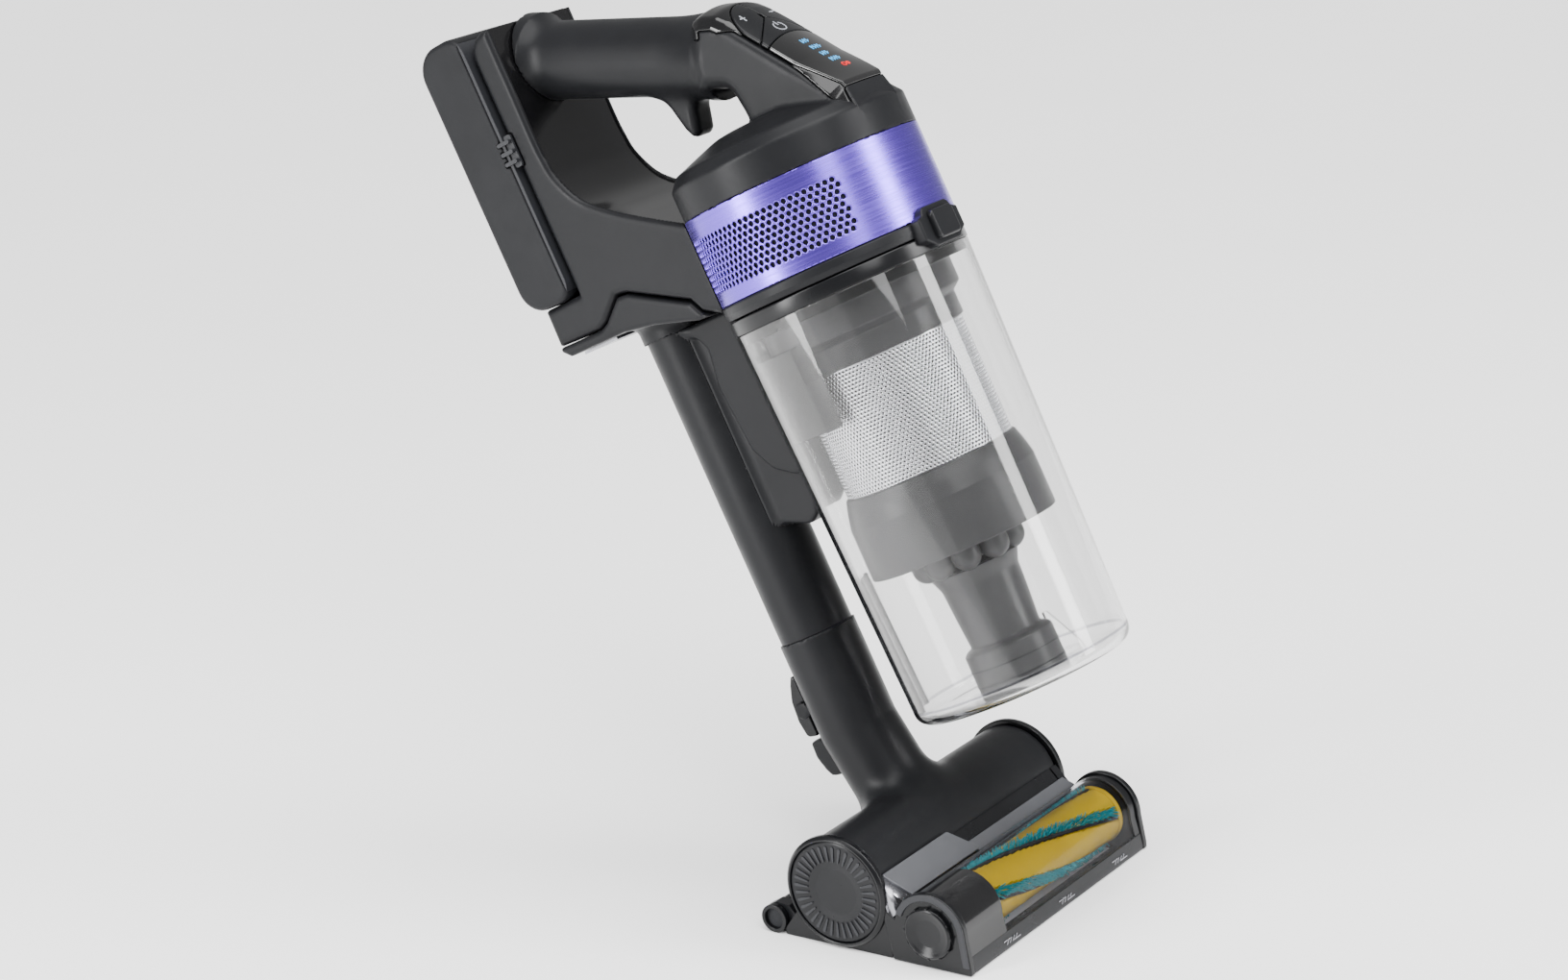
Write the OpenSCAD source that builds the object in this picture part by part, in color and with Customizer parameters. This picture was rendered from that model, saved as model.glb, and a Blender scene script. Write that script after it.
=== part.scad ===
// Cordless stick vacuum: a handheld cyclone body, a battery, a suction tube and a small brush tool.
// X is across the tool, the tool's front faces -Y, Z is up, and the sole lies on z = 0.
// Everything above the tool is drawn upright along the tube and then leaned back about the pivot.

/* [Pose] */
// Backward lean of the tube, degrees
lean = 24.7; // [20:0.1:30]
// Height of the tool's pivot above the sole
pivot_z = 30; // [29.8:0.1:31]
// Distance of the tube axis behind the pivot
tube_back = 15; // [13:0.5:17]

/* [Dust bin] */
// Distance of the bin axis in front of the tube axis
bin_offset = 110; // [110:0.5:114]
// Outer radius at the bin's top
bin_top_r = 62; // [60:0.25:62]
// Outer radius at the bin's floor
bin_floor_r = 57.5; // [56:0.25:59]
// Wall of the clear cup
bin_wall = 2; // [1.6:0.1:2.2]
// Height of the bin's floor along the tube
bin_z = 56; // [54:0.5:57]

/* [Cyclone] */
// Radius of the wire mesh cylinder
mesh_r = 44; // [42:0.5:45]
// Number of holes round the mesh
mesh_columns = 16; // [12:1:16]
// Number of small cyclone lobes
lobe_count = 9; // [6:1:9]

/* [Band] */
// Outer radius of the exhaust band
band_r = 62.2; // [62:0.1:62.3]
// Height of the exhaust band
band_height = 45.2; // [44:0.1:45.2]
// Vent holes in one row on each side
vent_columns = 10; // [6:1:10]
// Rows of vent holes
vent_rows = 4; // [3:1:4]
// Radius of one vent hole
vent_r = 1.9; // [1.4:0.1:2.1]

/* [Tube and grip] */
// Outer radius of the suction tube
tube_r = 19.5; // [19:0.1:20]
// Wall of the suction tube
tube_wall = 2.5; // [2:0.1:3]
// Radius of the grip
grip_r = 20; // [19:0.25:20.5]
// Wall of the moulded shells
shell_wall = 2.5; // [2:0.1:2.8]

/* [Battery] */
// Half width of the battery case
battery_half = 38; // [36:0.5:40]
// Number of cells in the battery
cell_count = 6; // [4:1:6]
// Radius of one cell
cell_r = 10.4; // [9:0.1:10.5]

/* [Brush tool] */
// Half length of the swivel cylinder
swivel_half = 82.4; // [80:0.1:82.4]
// Radius of the swivel cylinder
swivel_r = 27; // [26:0.25:27]
// Radius of the brush core
core_r = 12; // [10:0.25:12.5]
// Radius at the bristle tips
bristle_r = 16.4; // [15:0.1:16.6]
// Bristle strips round the core
strip_count = 4; // [3:1:5]
// Radius of the rear roller
rear_r = 7; // [6:0.1:7.1]

/* [Hidden] */
$fn = 64;
eps = 0.01;
bin_top = 268;
ring_z = 276.3;
band_z = 284.2;
band_top = band_z + band_height;
seam_z = 115.5;
brush_y = -54;
brush_z = 19;
lid_r = 19;
lid_wall = 1.8;
grip_pitch = 110.9;
panel_pitch = 49.9;

charcoal = [0.16, 0.16, 0.17];
gloss = [0.05, 0.05, 0.055];
grey = [0.42, 0.43, 0.45];
silver = [0.72, 0.73, 0.75];
violet = [0.45, 0.36, 0.78];
clear = [0.8, 0.84, 0.88, 0.35];
smoke = [0.25, 0.25, 0.27, 0.5];
yellow = [0.85, 0.7, 0.12];
teal = [0.1, 0.55, 0.55];
copper = [0.75, 0.5, 0.25];
board_green = [0.1, 0.35, 0.2];
foam = [0.7, 0.72, 0.74];

// ---- placement helpers ----

module on_tube() {
  translate([0, 0, pivot_z]) rotate([-lean, 0, 0]) translate([0, tube_back, 0]) children();
}

module on_bin() {
  on_tube() translate([0, -bin_offset, 0]) children();
}

module on_brush() {
  translate([0, brush_y, brush_z]) rotate([0, 90, 0]) children();
}

module on_pivot() {
  translate([0, 0, pivot_z]) rotate([0, 90, 0]) children();
}

module on_grip() {
  translate([0, 0, 434.5]) rotate([grip_pitch, 0, 0]) children();
}

module on_panel() {
  translate([0, -166.5, 359]) rotate([panel_pitch, 0, 0]) children();
}

// Draws a profile given as [y, z] between two x positions.
module along_x(x0, x1) {
  translate([x0, 0, 0]) rotate([90, 0, 90]) linear_extrude(height = x1 - x0) children();
}

module box(x0, x1, y0, y1, z0, z1) {
  translate([x0, y0, z0]) cube([x1 - x0, y1 - y0, z1 - z0]);
}

// A round-ended slab in a [y, z] profile: four corner circles joined by two rectangles.
module round_rect(w, h, r) {
  translate([r, 0]) square([w - 2 * r, h]);
  translate([0, r]) square([w, h - 2 * r]);
  for (x = [r, w - r]) {
    for (y = [r, h - r]) translate([x, y]) circle(r = r, $fn = 48);
  }
}

function arc_points(cy, cz, r, a0, a1, steps) =
  [for (i = [0:steps]) let(a = a0 + (a1 - a0) * i / steps) [cy + r * cos(a), cz + r * sin(a)]];

function reversed(list) = [for (i = [len(list) - 1:-1:0]) list[i]];

// ---- shared solids ----

module bin_column(r, z0, z1) {
  translate([0, -bin_offset, z0]) cylinder(r = r, h = z1 - z0, $fn = 96);
}

function dome_profile(t) = [
  [0, 300], [62 - t, 300], [62 - t, 344 - t * 0.4], [60 - t, 349.5 - t * 0.6],
  [56 - t * 0.7, 352.5 - t * 0.9], [32 - t * 0.4, 360.5 - t], [20, 362 - t], [0, 362 - t]
];

module dome_solid(t) {
  translate([0, -bin_offset, 0]) rotate_extrude($fn = 96) polygon(dome_profile(t));
}

module housing_block() {
  along_x(-35, 35) polygon([
    [24.9, 464], [7, 464], [8, 440], [9.5, 392], [6, 382], [-2, 367], [-21, 351], [-50, 334],
    [-60, 330], [-60, 282], [-45.2, 293.4], [-4.6, 312.6], [2, 313.4], [21.3, 299.5],
    [50.4, 302.9], [50.4, 321], [24.9, 321]
  ]);
}

module housing_cavity() {
  difference() {
    along_x(-35 + shell_wall, 35 - shell_wall) polygon([
      [22.4, 461.5], [-10, 461.5], [-10, 382], [-25, 356], [-66, 336], [-66, 270],
      [47.8, 270], [47.8, 318.4], [22.4, 318.4]
    ]);
    bin_column(65.2, 260, 470);
  }
}

module housing_half(side) {
  difference() {
    housing_block();
    housing_cavity();
    bin_column(62.8, 270, 360);
    box(side > 0 ? -40 : 0, side > 0 ? 0 : 40, -80, 60, 270, 470);
    box(-15, 15, 20, 30, 334, 350);
    for (z = [330, 450]) {
      translate([side * 36, 17, z]) rotate([0, -side * 90, 0]) cylinder(r = 1.6, h = 6, $fn = 24);
    }
  }
}

liner_front = [[8.6, 461.3], [9.6, 440], [11, 391.6], [7.2, 381], [-1.2, 366], [-20.2, 349.8],
  [-58, 327.8]];
liner_back = [[-57, 325], [-18.8, 347.4], [0.9, 364.2], [9.5, 380], [13.5, 391.2], [12.1, 440],
  [11.1, 461.3]];

module behind_liner() {
  along_x(-60, 60) polygon(concat([[8.6, 500]], liner_front, [[-58, 280], [60, 280], [60, 500]]));
}

module grip_solid(r) {
  on_grip() {
    translate([0, 0, -16]) cylinder(r = r, h = 134);
    translate([0, 0, -16]) cylinder(r1 = r + 5, r2 = r + 3, h = 8);
    translate([0, 0, -8]) cylinder(r1 = r + 3, r2 = r, h = 10);
  }
}

module grip_half(side) {
  difference() {
    grip_solid(grip_r);
    on_grip() translate([0, 0, -30]) cylinder(r = grip_r - shell_wall, h = 160);
    behind_liner();
    along_x(-30, 30) head_profile();
    along_x(-30, 30) polygon([[-96.8, 419.1], [-104.5, 379.1], [-150, 340], [-150, 430], [-97, 430]]);
    dome_solid(-0.1);
    box(side > 0 ? -40 : 0, side > 0 ? 0 : 40, -120, 40, 360, 480);
  }
}

// ---- handheld body ----

module housing_left() {
  color(charcoal) on_tube() housing_half(-1);
}

module housing_right() {
  color(charcoal) on_tube() housing_half(1);
}

module recess_liner() {
  color(gloss) on_tube() difference() {
    along_x(-32.3, 32.3) polygon(concat(liner_front, liner_back));
    bin_column(65.3, 270, 470);
    dome_solid(-0.2);
    on_grip() translate([0, 0, -30]) cylinder(r = 9, h = 30);
  }
}

module lower_trim() {
  color(charcoal) on_tube() difference() {
    along_x(-35, 35) polygon([
      [50, 302.7], [21.3, 299.3], [2, 313.2], [-4.6, 312.4], [-45.2, 293.2], [-60, 281.8],
      [-60, 277], [-52, 284], [-40, 284], [10, 287.5], [15, 294.6], [47, 294.6], [50, 298.5]
    ]);
    along_x(-35 + shell_wall, 35 - shell_wall) polygon([
      [47.4, 320], [47.4, 297], [14, 297], [8.5, 290], [-44, 286.6], [-44, 320]
    ]);
    bin_column(62.8, 260, 360);
    translate([0, 0, 270]) cylinder(r = tube_r + 0.1, h = 60);
    box(-9, 9, 30, 38, 290, 300);
  }
}

module dock_plate() {
  color(silver) on_tube() difference() {
    box(-25, 25, 21, 45, 293, 294.5);
    for (x = [-6, 6]) translate([x, 34, 290]) cylinder(r = 3, h = 8, $fn = 32);
    box(-6, 6, 31, 37, 290, 298);
    for (x = [-21, 21]) translate([x, 34, 290]) cylinder(r = 1.7, h = 8, $fn = 24);
  }
}

module dock_contacts() {
  color(copper) on_tube() {
    for (x = [-5, 5]) {
      translate([x, 34, 293.4]) cylinder(r = 1.8, h = 5.4, $fn = 32);
      translate([x, 34, 298.6]) cylinder(r = 3, h = 1.6, $fn = 32);
    }
    box(-8.5, 8.5, 31, 37, 300, 301.6);
  }
}

module main_board() {
  color(board_green) on_tube() {
    box(-26, 26, 17.2, 18.8, 352, 446);
    for (z = [362, 392, 422]) box(-18, -4, 18.8, 21.6, z, z + 12);
    for (z = [366, 400]) translate([12, 18.8, z]) rotate([-90, 0, 0]) cylinder(r = 5, h = 3, $fn = 32);
  }
}

module battery_terminals() {
  color(copper) on_tube() {
    difference() {
      box(-14.6, 14.6, 19, 24.8, 334.4, 349.6);
      box(-12, 12, 18, 21, 337, 347);
    }
    for (x = [-9, 0, 9]) box(x - 0.8, x + 0.8, 24.8, 31, 337.5, 346.5);
  }
}

module grip_left() {
  color(charcoal) on_tube() grip_half(-1);
}

module grip_right() {
  color(charcoal) on_tube() grip_half(1);
}

module finger_stop() {
  color(charcoal) on_tube() difference() {
    along_x(-8.5, 8.5) polygon([
      [-50, 400], [-54.6, 387], [-57.6, 379], [-61, 371], [-65.5, 366.6], [-70, 365.8],
      [-75, 369], [-79, 376], [-82, 385], [-83.5, 396]
    ]);
    on_grip() translate([0, 0, -20]) cylinder(r = grip_r + 0.02, h = 150);
  }
}

module head_profile() {
  polygon([
    [-104.6, 379], [-96.9, 419], [-106, 420.4], [-115.5, 417.4], [-122, 411.8], [-166.5, 359],
    [-169.4, 346], [-167, 338], [-107, 338], [-106.2, 354]
  ]);
}

module head_cavity() {
  polygon([
    [-107, 379.6], [-99.8, 416], [-106, 420.3 - shell_wall], [-114.6, 414.9],
    [-120, 410], [-163.9, 357.9], [-166.7, 346], [-164, 334], [-109.6, 334], [-108.8, 354]
  ]);
}

module head_shell() {
  color(charcoal) on_tube() difference() {
    intersection() {
      along_x(-23, 23) head_profile();
      bin_column(62, 330, 430);
    }
    intersection() {
      along_x(-20.5, 20.5) head_cavity();
      bin_column(59.4, 330, 430);
    }
    dome_solid(-0.05);
    on_panel() box(-17.5, 17.5, 3, 66, -6, 6);
  }
}

module button_window(x0, x1, y0, y1) {
  box(x0, x1, y0, y1, -8, 8);
}

module head_trim() {
  color(gloss) on_tube() on_panel() difference() {
    box(-17.4, 17.4, 3.1, 65.9, -2.2, 0.7);
    box(-14.8, 14.8, 6, 40, -8, 8);
    box(-14.8, 14.8, 41.6, 53.4, -8, 8);
    box(-14.8, -0.6, 54.6, 64, -8, 8);
    box(0.6, 14.8, 54.6, 64, -8, 8);
  }
}

module display_lens() {
  color(smoke) on_tube() on_panel() {
    box(-14.7, 14.7, 6.1, 39.9, -1.9, 0.45);
    box(-12, 12, 8, 38, -3.4, -1.9);
  }
}

module panel_button(x0, x1, y0, y1) {
  on_tube() on_panel() {
    box(x0, x1, y0, y1, -1.5, 0.9);
    box((x0 + x1) / 2 - 2, (x0 + x1) / 2 + 2, (y0 + y1) / 2 - 2, (y0 + y1) / 2 + 2, -3, -1.5);
  }
}

module power_button() {
  color(gloss) panel_button(-14.4, 14.4, 42, 53);
}

module plus_button() {
  color(gloss) panel_button(-14.4, -1, 55, 63.6);
}

module minus_button() {
  color(gloss) panel_button(1, 14.4, 55, 63.6);
}

module motor_cover() {
  color(charcoal) on_tube() difference() {
    dome_solid(0);
    dome_solid(2.4);
    bin_column(80, 280, band_top + 0.1);
    for (x = [-8, 8]) translate([x, -bin_offset, 340]) cylinder(r = 3, h = 40, $fn = 32);
  }
}

module exhaust_band() {
  color(violet) on_bin() difference() {
    translate([0, 0, band_z]) cylinder(r = band_r, h = band_height, $fn = 96);
    translate([0, 0, band_z - 1]) cylinder(r = band_r - 1.2, h = band_height + 2, $fn = 96);
    for (s = [-1, 1]) {
      for (i = [0:vent_columns - 1]) {
        for (j = [0:vent_rows - 1]) {
          translate([0, 0, band_z + 10 + j * 8])
            rotate([0, 90, s * (48 + i * 7.5 + (j % 2) * 3.75) - 90])
              translate([0, 0, 50]) cylinder(r = vent_r, h = 20, $fn = 16);
        }
      }
    }
  }
}

module exhaust_filter() {
  color(foam) on_bin() difference() {
    translate([0, 0, 287.2]) cylinder(r = 59, h = 39);
    translate([0, 0, 287]) cylinder(r = 48, h = 42);
    for (a = [0:15:345]) rotate([0, 0, a]) translate([47, 0, 306]) cube([6, 4, 36], center = true);
  }
}

module motor_can() {
  color(silver) on_bin() difference() {
    union() {
      translate([0, 0, 300.2]) cylinder(r = 27, h = 40);
      translate([0, 0, 340.2]) cylinder(r = 12, h = 8);
      translate([0, 0, 284.2]) cylinder(r = 30, h = 1.6);
      for (a = [45:90:315]) rotate([0, 0, a]) translate([28.5, 0, 284.2]) cylinder(r = 1.8, h = 20, $fn = 24);
    }
    translate([0, 0, 283]) cylinder(r = 14, h = 5);
    translate([0, 0, 299]) cylinder(r = 3.08, h = 14);
    for (a = [0:45:315]) rotate([0, 0, a]) translate([21, 0, 335]) cylinder(r = 3, h = 10, $fn = 24);
  }
}

module impeller() {
  color(grey) on_bin() {
    translate([0, 0, 286.6]) cylinder(r = 3, h = 25.4);
    translate([0, 0, 287]) cylinder(r = 8, h = 10);
    translate([0, 0, 296]) cylinder(r = 24, h = 1.6);
    for (i = [0:8]) rotate([0, 0, i * 40]) translate([7, -0.7, 288]) cube([16, 1.4, 8.5]);
  }
}

module body_ring() {
  color(charcoal) on_tube() difference() {
    translate([0, -bin_offset, 0]) rotate_extrude($fn = 96) polygon([
      [16, 281.6], [50, 281.6], [50, ring_z], [62.4, ring_z], [62.4, 284.1], [60.9, 284.1],
      [60.9, 286.6], [59.6, 286.6], [59.6, 284.1], [16, 284.1]
    ]);
    box(-9, 9, -180, -166.6, 270, 283.9);
  }
}

module bin_button() {
  color(gloss) on_tube() difference() {
    union() {
      along_x(-8.5, 8.5) translate([-178.6, 269]) round_rect(5.6, 22, 2.5);
      box(-6, 6, -174.6, -169.4, 277, 283.2);
    }
    box(-12, 12, -174.3, -160, 283.4, 300);
    box(-12, 12, -174.5, -160, 260, 276.6);
  }
}

// ---- tube ----

module suction_tube() {
  color(charcoal) on_tube() difference() {
    rotate_extrude() polygon([
      [14.6, 96], [16.92, 96], [16.92, seam_z + 0.3], [tube_r, seam_z + 0.3], [tube_r, 300],
      [0, 300], [0, 300 - tube_wall], [tube_r - tube_wall, 300 - tube_wall],
      [tube_r - tube_wall, 120], [14.6, 117]
    ]);
    box(-9, 9, -25, -8, 214, 246);
  }
}

module tube_fairing() {
  color(grey) on_tube() difference() {
    union() {
      along_x(-13, 13) polygon([
        [-14, 283.8], [-50, 283.8], [-50, 210], [-46, 181], [-42, 171], [-36, 167], [-28, 166],
        [-14, 176]
      ]);
      along_x(-16, 16) polygon([
        [-10, 283.8], [-50, 283.8], [-50, 196], [-47, 194], [-40, 194.6], [-31, 200], [-24, 209],
        [-10, 214]
      ]);
    }
    cylinder(r = tube_r + 0.05, h = 400);
    bin_column(64, 100, 300);
    box(-9, 9, -60, -8, 214, 246);
  }
}

// ---- battery ----

module battery_outline() {
  translate([25.3, 321.5]) round_rect(34.2, 145.3, 14);
}

module battery_case() {
  color(charcoal) on_tube() difference() {
    intersection() {
      along_x(-battery_half, battery_half) battery_outline();
      box(-60, 60, 28.4, 80, 300, 500);
    }
    along_x(-battery_half + 2, battery_half - 2) translate([27.3, 323.5]) round_rect(30.2, 141.3, 12);
    box(-24, 24, 28, 34, 340, 448);
    for (s = [-1, 1]) box(s > 0 ? 30 : -50, s > 0 ? 50 : -30, 29.6, 38.4, 393, 413);
  }
}

module battery_plate() {
  color(charcoal) on_tube() difference() {
    union() {
      intersection() {
        along_x(-battery_half, battery_half) battery_outline();
        box(-60, 60, 25.3, 28.2, 300, 500);
      }
      box(-23.8, 23.8, 28.2, 29.4, 340.2, 447.8);
    }
    box(-15.4, 15.4, 20, 40, 333.8, 350.2);
  }
}

module battery_cells() {
  color([0.2, 0.45, 0.5]) on_tube() {
    for (i = [0:cell_count - 1]) {
      translate([-26, 43.4, 336.2 + i * 23.2]) rotate([0, 90, 0]) cylinder(r = cell_r, h = 52);
    }
  }
}

module battery_button(side) {
  on_tube() translate([0, 34, 403]) scale([1, 1, 1]) {
    box(side > 0 ? 31 : -37.8, side > 0 ? 37.8 : -31, -4, 4, -9.6, 9.6);
    for (z = [-6, 0, 6]) box(side > 0 ? 37.8 : -39, side > 0 ? 39 : -37.8, -3.4, 3.4, z - 1, z + 1);
  }
}

module battery_button_l() {
  color(gloss) battery_button(-1);
}

module battery_button_r() {
  color(gloss) battery_button(1);
}

// ---- dust bin and cyclone ----

module bin_cup() {
  slope = (bin_top_r - bin_floor_r) / (bin_top - bin_z - 8);
  w = bin_wall;
  color(clear) on_bin() {
    difference() {
      rotate_extrude($fn = 96) polygon([
        [0, bin_z], [bin_floor_r - 7, bin_z], [bin_floor_r - 3.4, bin_z + 1],
        [bin_floor_r - 1, bin_z + 3.4], [bin_floor_r, bin_z + 8], [bin_top_r, bin_top],
        [bin_top_r - w, bin_top], [bin_floor_r - w, bin_z + 8.4],
        [bin_floor_r - w - 1.2, bin_z + 4.8], [bin_floor_r - w - 3, bin_z + 3],
        [bin_floor_r - w - 6, bin_z + w], [0, bin_z + w]
      ]);
      box(-11, 11, 50, 70, 212, 248);
    }
    rotate([0, 0, -20]) along_x_fin();
  }
}

// Clear rib that stands on the bin's floor beside the collector.
module along_x_fin() {
  translate([0, 0.8, 0]) rotate([90, 0, 0]) linear_extrude(height = 1.6)
    polygon([[25, bin_z + 1], [40, bin_z + 1], [26.5, bin_z + 26], [25, bin_z + 26]]);
}

module bin_collar() {
  color(charcoal) on_bin() difference() {
    rotate_extrude($fn = 96) polygon([
      [52, 275.9], [62.4, 275.9], [62.4, 268.1], [59.8, 268.1], [59.8, 262], [57, 262],
      [57, 270], [52, 270]
    ]);
    box(-10, 10, -70, -61.2, 260, 280);
  }
}

module cyclone_cap() {
  color(grey) on_bin() {
    rotate_extrude($fn = 96) polygon([
      [mesh_r - 3, 233.1], [mesh_r + 1.4, 233.1], [mesh_r + 1.4, 246], [50, 249], [50, 262],
      [51.8, 264], [51.8, 275.8], [49.6, 275.8], [49.6, 265], [47.8, 261.5], [18, 261.5],
      [18, 259], [mesh_r - 3, 259]
    ]);
  }
}

module pre_filter() {
  color(foam) on_bin() difference() {
    translate([0, 0, 261.7]) cylinder(r = 47.6, h = 3);
    translate([0, 0, 260]) cylinder(r = 6, h = 20, $fn = 32);
  }
  color(foam) on_bin() difference() {
    translate([0, 0, 264.7]) cylinder(r = 49.2, h = 10);
    translate([0, 0, 260]) cylinder(r = 6, h = 20, $fn = 32);
  }
}

module mesh_screen() {
  color(silver) on_bin() difference() {
    translate([0, 0, 172.1]) cylinder(r = mesh_r, h = 60.9, $fn = 96);
    translate([0, 0, 170]) cylinder(r = mesh_r - 1, h = 70, $fn = 96);
    for (i = [0:mesh_columns - 1]) {
      for (j = [0:3]) {
        rotate([0, 90, (i + (j % 2) * 0.5) * 360 / mesh_columns])
          translate([-(181 + j * 14.4), 0, mesh_r - 6]) cylinder(r = 4, h = 12, $fn = 16);
      }
    }
  }
}

module skirt_ring() {
  color(grey) on_bin() rotate_extrude($fn = 96) polygon([
    [mesh_r - 3, 172], [mesh_r + 1.4, 172], [mesh_r + 3.6, 165], [mesh_r + 5, 158],
    [mesh_r + 5, 131], [mesh_r + 3, 131], [mesh_r + 3, 146], [34, 146], [34, 149],
    [mesh_r + 3, 149], [mesh_r + 3, 157], [mesh_r + 1.6, 164], [mesh_r - 3, 169.5]
  ]);
}

module cyclone_lobes() {
  color(grey) on_bin() difference() {
    union() {
      translate([0, 0, 134]) cylinder(r = 33.4, h = 15);
      for (i = [0:lobe_count - 1]) {
        rotate([0, 0, i * 360 / lobe_count]) translate([22.5, 0, 0]) {
          translate([0, 0, 121.2]) cylinder(r1 = 4.6, r2 = 7.4, h = 5, $fn = 48);
          translate([0, 0, 126.2]) cylinder(r = 7.4, h = 8, $fn = 48);
        }
      }
    }
    for (i = [0:lobe_count - 1]) {
      rotate([0, 0, i * 360 / lobe_count]) translate([22.5, 0, 115]) cylinder(r = 3, h = 40, $fn = 32);
    }
    translate([0, 0, 140]) cylinder(r = 14, h = 20);
  }
}

module collector_tube() {
  color(grey) on_bin() rotate_extrude() polygon([
    [26.5, 118.4], [28.6, 121], [26.4, 121], [24, 118.4], [18.4, 116], [17.6, 100],
    [16, 80], [16, bin_z + 2.1], [23.4, bin_z + 2.1], [23.4, 79], [18.6, 80.4], [19.8, 100],
    [20.6, 115]
  ]);
}

module inlet_duct() {
  color(gloss) on_bin() difference() {
    union() {
      rotate([0, 0, 78]) rotate_extrude(angle = 92, $fn = 96) translate([mesh_r + 1.8, 209])
        square([58.4 - mesh_r - 1.8, 43]);
      box(-10.4, 10.4, 50, 60.6, 212.6, 247.4);
    }
    rotate([0, 0, 80]) rotate_extrude(angle = 95, $fn = 96) translate([mesh_r + 3.6, 211.4])
      square([56.8 - mesh_r - 3.6, 38.2]);
    box(-8.6, 8.6, 49, 70, 214.4, 245.6);
    translate([0, 0, 245.4]) cylinder(r = 50.4, h = 20, $fn = 96);
  }
}

// ---- neck ----

module neck_body() {
  color(charcoal) on_tube() difference() {
    union() {
      translate([0, -tube_back, 0]) rotate([0, 90, 0])
        translate([0, 0, -swivel_half]) cylinder(r = swivel_r, h = 2 * swivel_half);
      translate([0, 0, 55.5]) cylinder(r = 20.6, h = seam_z - 55.5);
      translate([0, 0, 62]) rotate([170, 0, 0]) cylinder(r = 22.6, h = 48);
      neck_flare();
      along_x(-7, 7) polygon([[8, 62], [28.4, 63], [29.2, 54], [25, 43.6], [18.7, 42.4], [4, 45]]);
      box(-9.5, -7.6, 12, 26.5, 72, 88);
      box(7.6, 9.5, 12, 26.5, 72, 88);
      translate([-9.5, 24.5, 80]) rotate([0, 90, 0]) cylinder(r = 1.6, h = 19, $fn = 32);
    }
    translate([0, 0, 55.5]) cylinder(r = 17, h = 66.5);
    translate([0, 0, 62]) rotate([170, 0, 0]) cylinder(r = 18.4, h = 48);
    translate([0, -tube_back, 0]) rotate([0, 90, 0])
      translate([0, 0, -78]) cylinder(r = swivel_r - 2.5, h = 156);
    translate([0, -tube_back, 0]) rotate([0, 90, 0])
      translate([0, 0, -100]) cylinder(r = 8.08, h = 200);
    translate([0, -tube_back, 0]) rotate([lean, 0, 0]) box(-28, 28, -40, -10, -16, -4);
  }
}

// Web that carries the neck out into the swivel cylinder on both sides.
module neck_flare() {
  translate([0, -tube_back + 13, 0]) rotate([90, 0, 0]) linear_extrude(height = 24) difference() {
    translate([-40, 18]) square([80, 26]);
    for (s = [-1, 1]) translate([s * 42.5, 47.5]) circle(r = 22);
    translate([-50, 44.2]) square([100, 10]);
  }
}

module latch_lever() {
  color(gloss) on_tube() difference() {
    union() {
      along_x(-7, 7) polygon([
        [23, 65], [29, 65.8], [31.2, 74], [30.8, 84], [28.8, 93], [25.6, 99.4], [22.6, 101.4],
        [21.4, 97], [21.4, 84], [22.4, 81], [22.4, 68]
      ]);
      box(-3, 3, 20.9, 22.5, 96, 99);
    }
    translate([-20, 24.5, 80]) rotate([0, 90, 0]) cylinder(r = 1.68, h = 40, $fn = 32);
  }
}

// ---- brush tool ----

module end_profile() {
  polygon(concat([[-76.4, 0], [-76.4, 3]], reversed(arc_points(brush_y, brush_z, 20, 55, 180, 14)),
    [[-33, 28], [-31, 12], [-31, 0]]));
}

module tool_base() {
  color(charcoal) difference() {
    union() {
      box(-82.6, 82.6, -40, 31, 0, 2.4);
      box(-82.6, 82.6, -75.6, -71.4, 0, 2.6);
      along_x(-76, 76) polygon([
        [-40, 0], [-37.6, 8], [-36.9, 27.6], [-24.6, 40.6], [-18, 40], [-18, 0]
      ]);
      for (s = [-1, 1]) {
        along_x(s > 0 ? 77.2 : -82.6, s > 0 ? 82.6 : -77.2) polygon([
          [-75.6, 0], [-74.2, 12], [-70, 26], [-62, 34], [-54, 36.6], [-46, 34], [-36.9, 27.6],
          [-24.6, 40.6], [-18, 40], [0, 2], [31, 2], [31, 0]
        ]);
        along_x(s > 0 ? 76 : -82.6, s > 0 ? 82.6 : -76) polygon([
          [24, 0], [24, 6], [32, 15], [40, 15.6], [46, 12], [47.4, 7.4], [45, 2], [40, 0.8],
          [33, 0]
        ]);
      }
      box(-77.5, -75.9, -40, -18, 0, 26);
      box(75.9, 77.5, -40, -18, 0, 26);
    }
    translate([0, 0, pivot_z]) rotate([0, 90, 0])
      translate([0, 0, -90]) cylinder(r = swivel_r + 0.5, h = 180, $fn = 96);
    on_brush() translate([0, 0, -77.2]) cylinder(r = 17.3, h = 154.4);
    on_brush() translate([0, 0, -90]) cylinder(r = 4.08, h = 180);
    translate([-90, 39, rear_r + 0.3]) rotate([0, 90, 0]) cylinder(r = 3.08, h = 180, $fn = 48);
    translate([-75.9, 39, rear_r + 0.3]) rotate([0, 90, 0]) cylinder(r = rear_r + 0.6, h = 151.8);
    box(-26, 26, -42, -20, 8, 20);
    box(-30, 30, 5, 24, -1, 1.2);
  }
}

module cheek(side) {
  x0 = side > 0 ? 82.8 : -86.8;
  difference() {
    union() {
      along_x(x0, x0 + 4) translate([0, pivot_z]) circle(r = 28.5, $fn = 96);
      along_x(x0, x0 + 4) polygon([[-30.6, 0], [-30.6, 26], [-20, 20], [20, 20], [30, 6], [33, 0]]);
      on_pivot() translate([0, 0, side > 0 ? 76 : -83]) cylinder(r = 8, h = 7);
    }
    along_x(side > 0 ? 85 : -90, side > 0 ? 90 : -85) translate([0, pivot_z]) circle(r = 26.6);
    on_pivot() translate([0, 0, -90]) cylinder(r = 3, h = 180, $fn = 32);
  }
}

module cheek_l() {
  color(gloss) cheek(-1);
}

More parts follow.
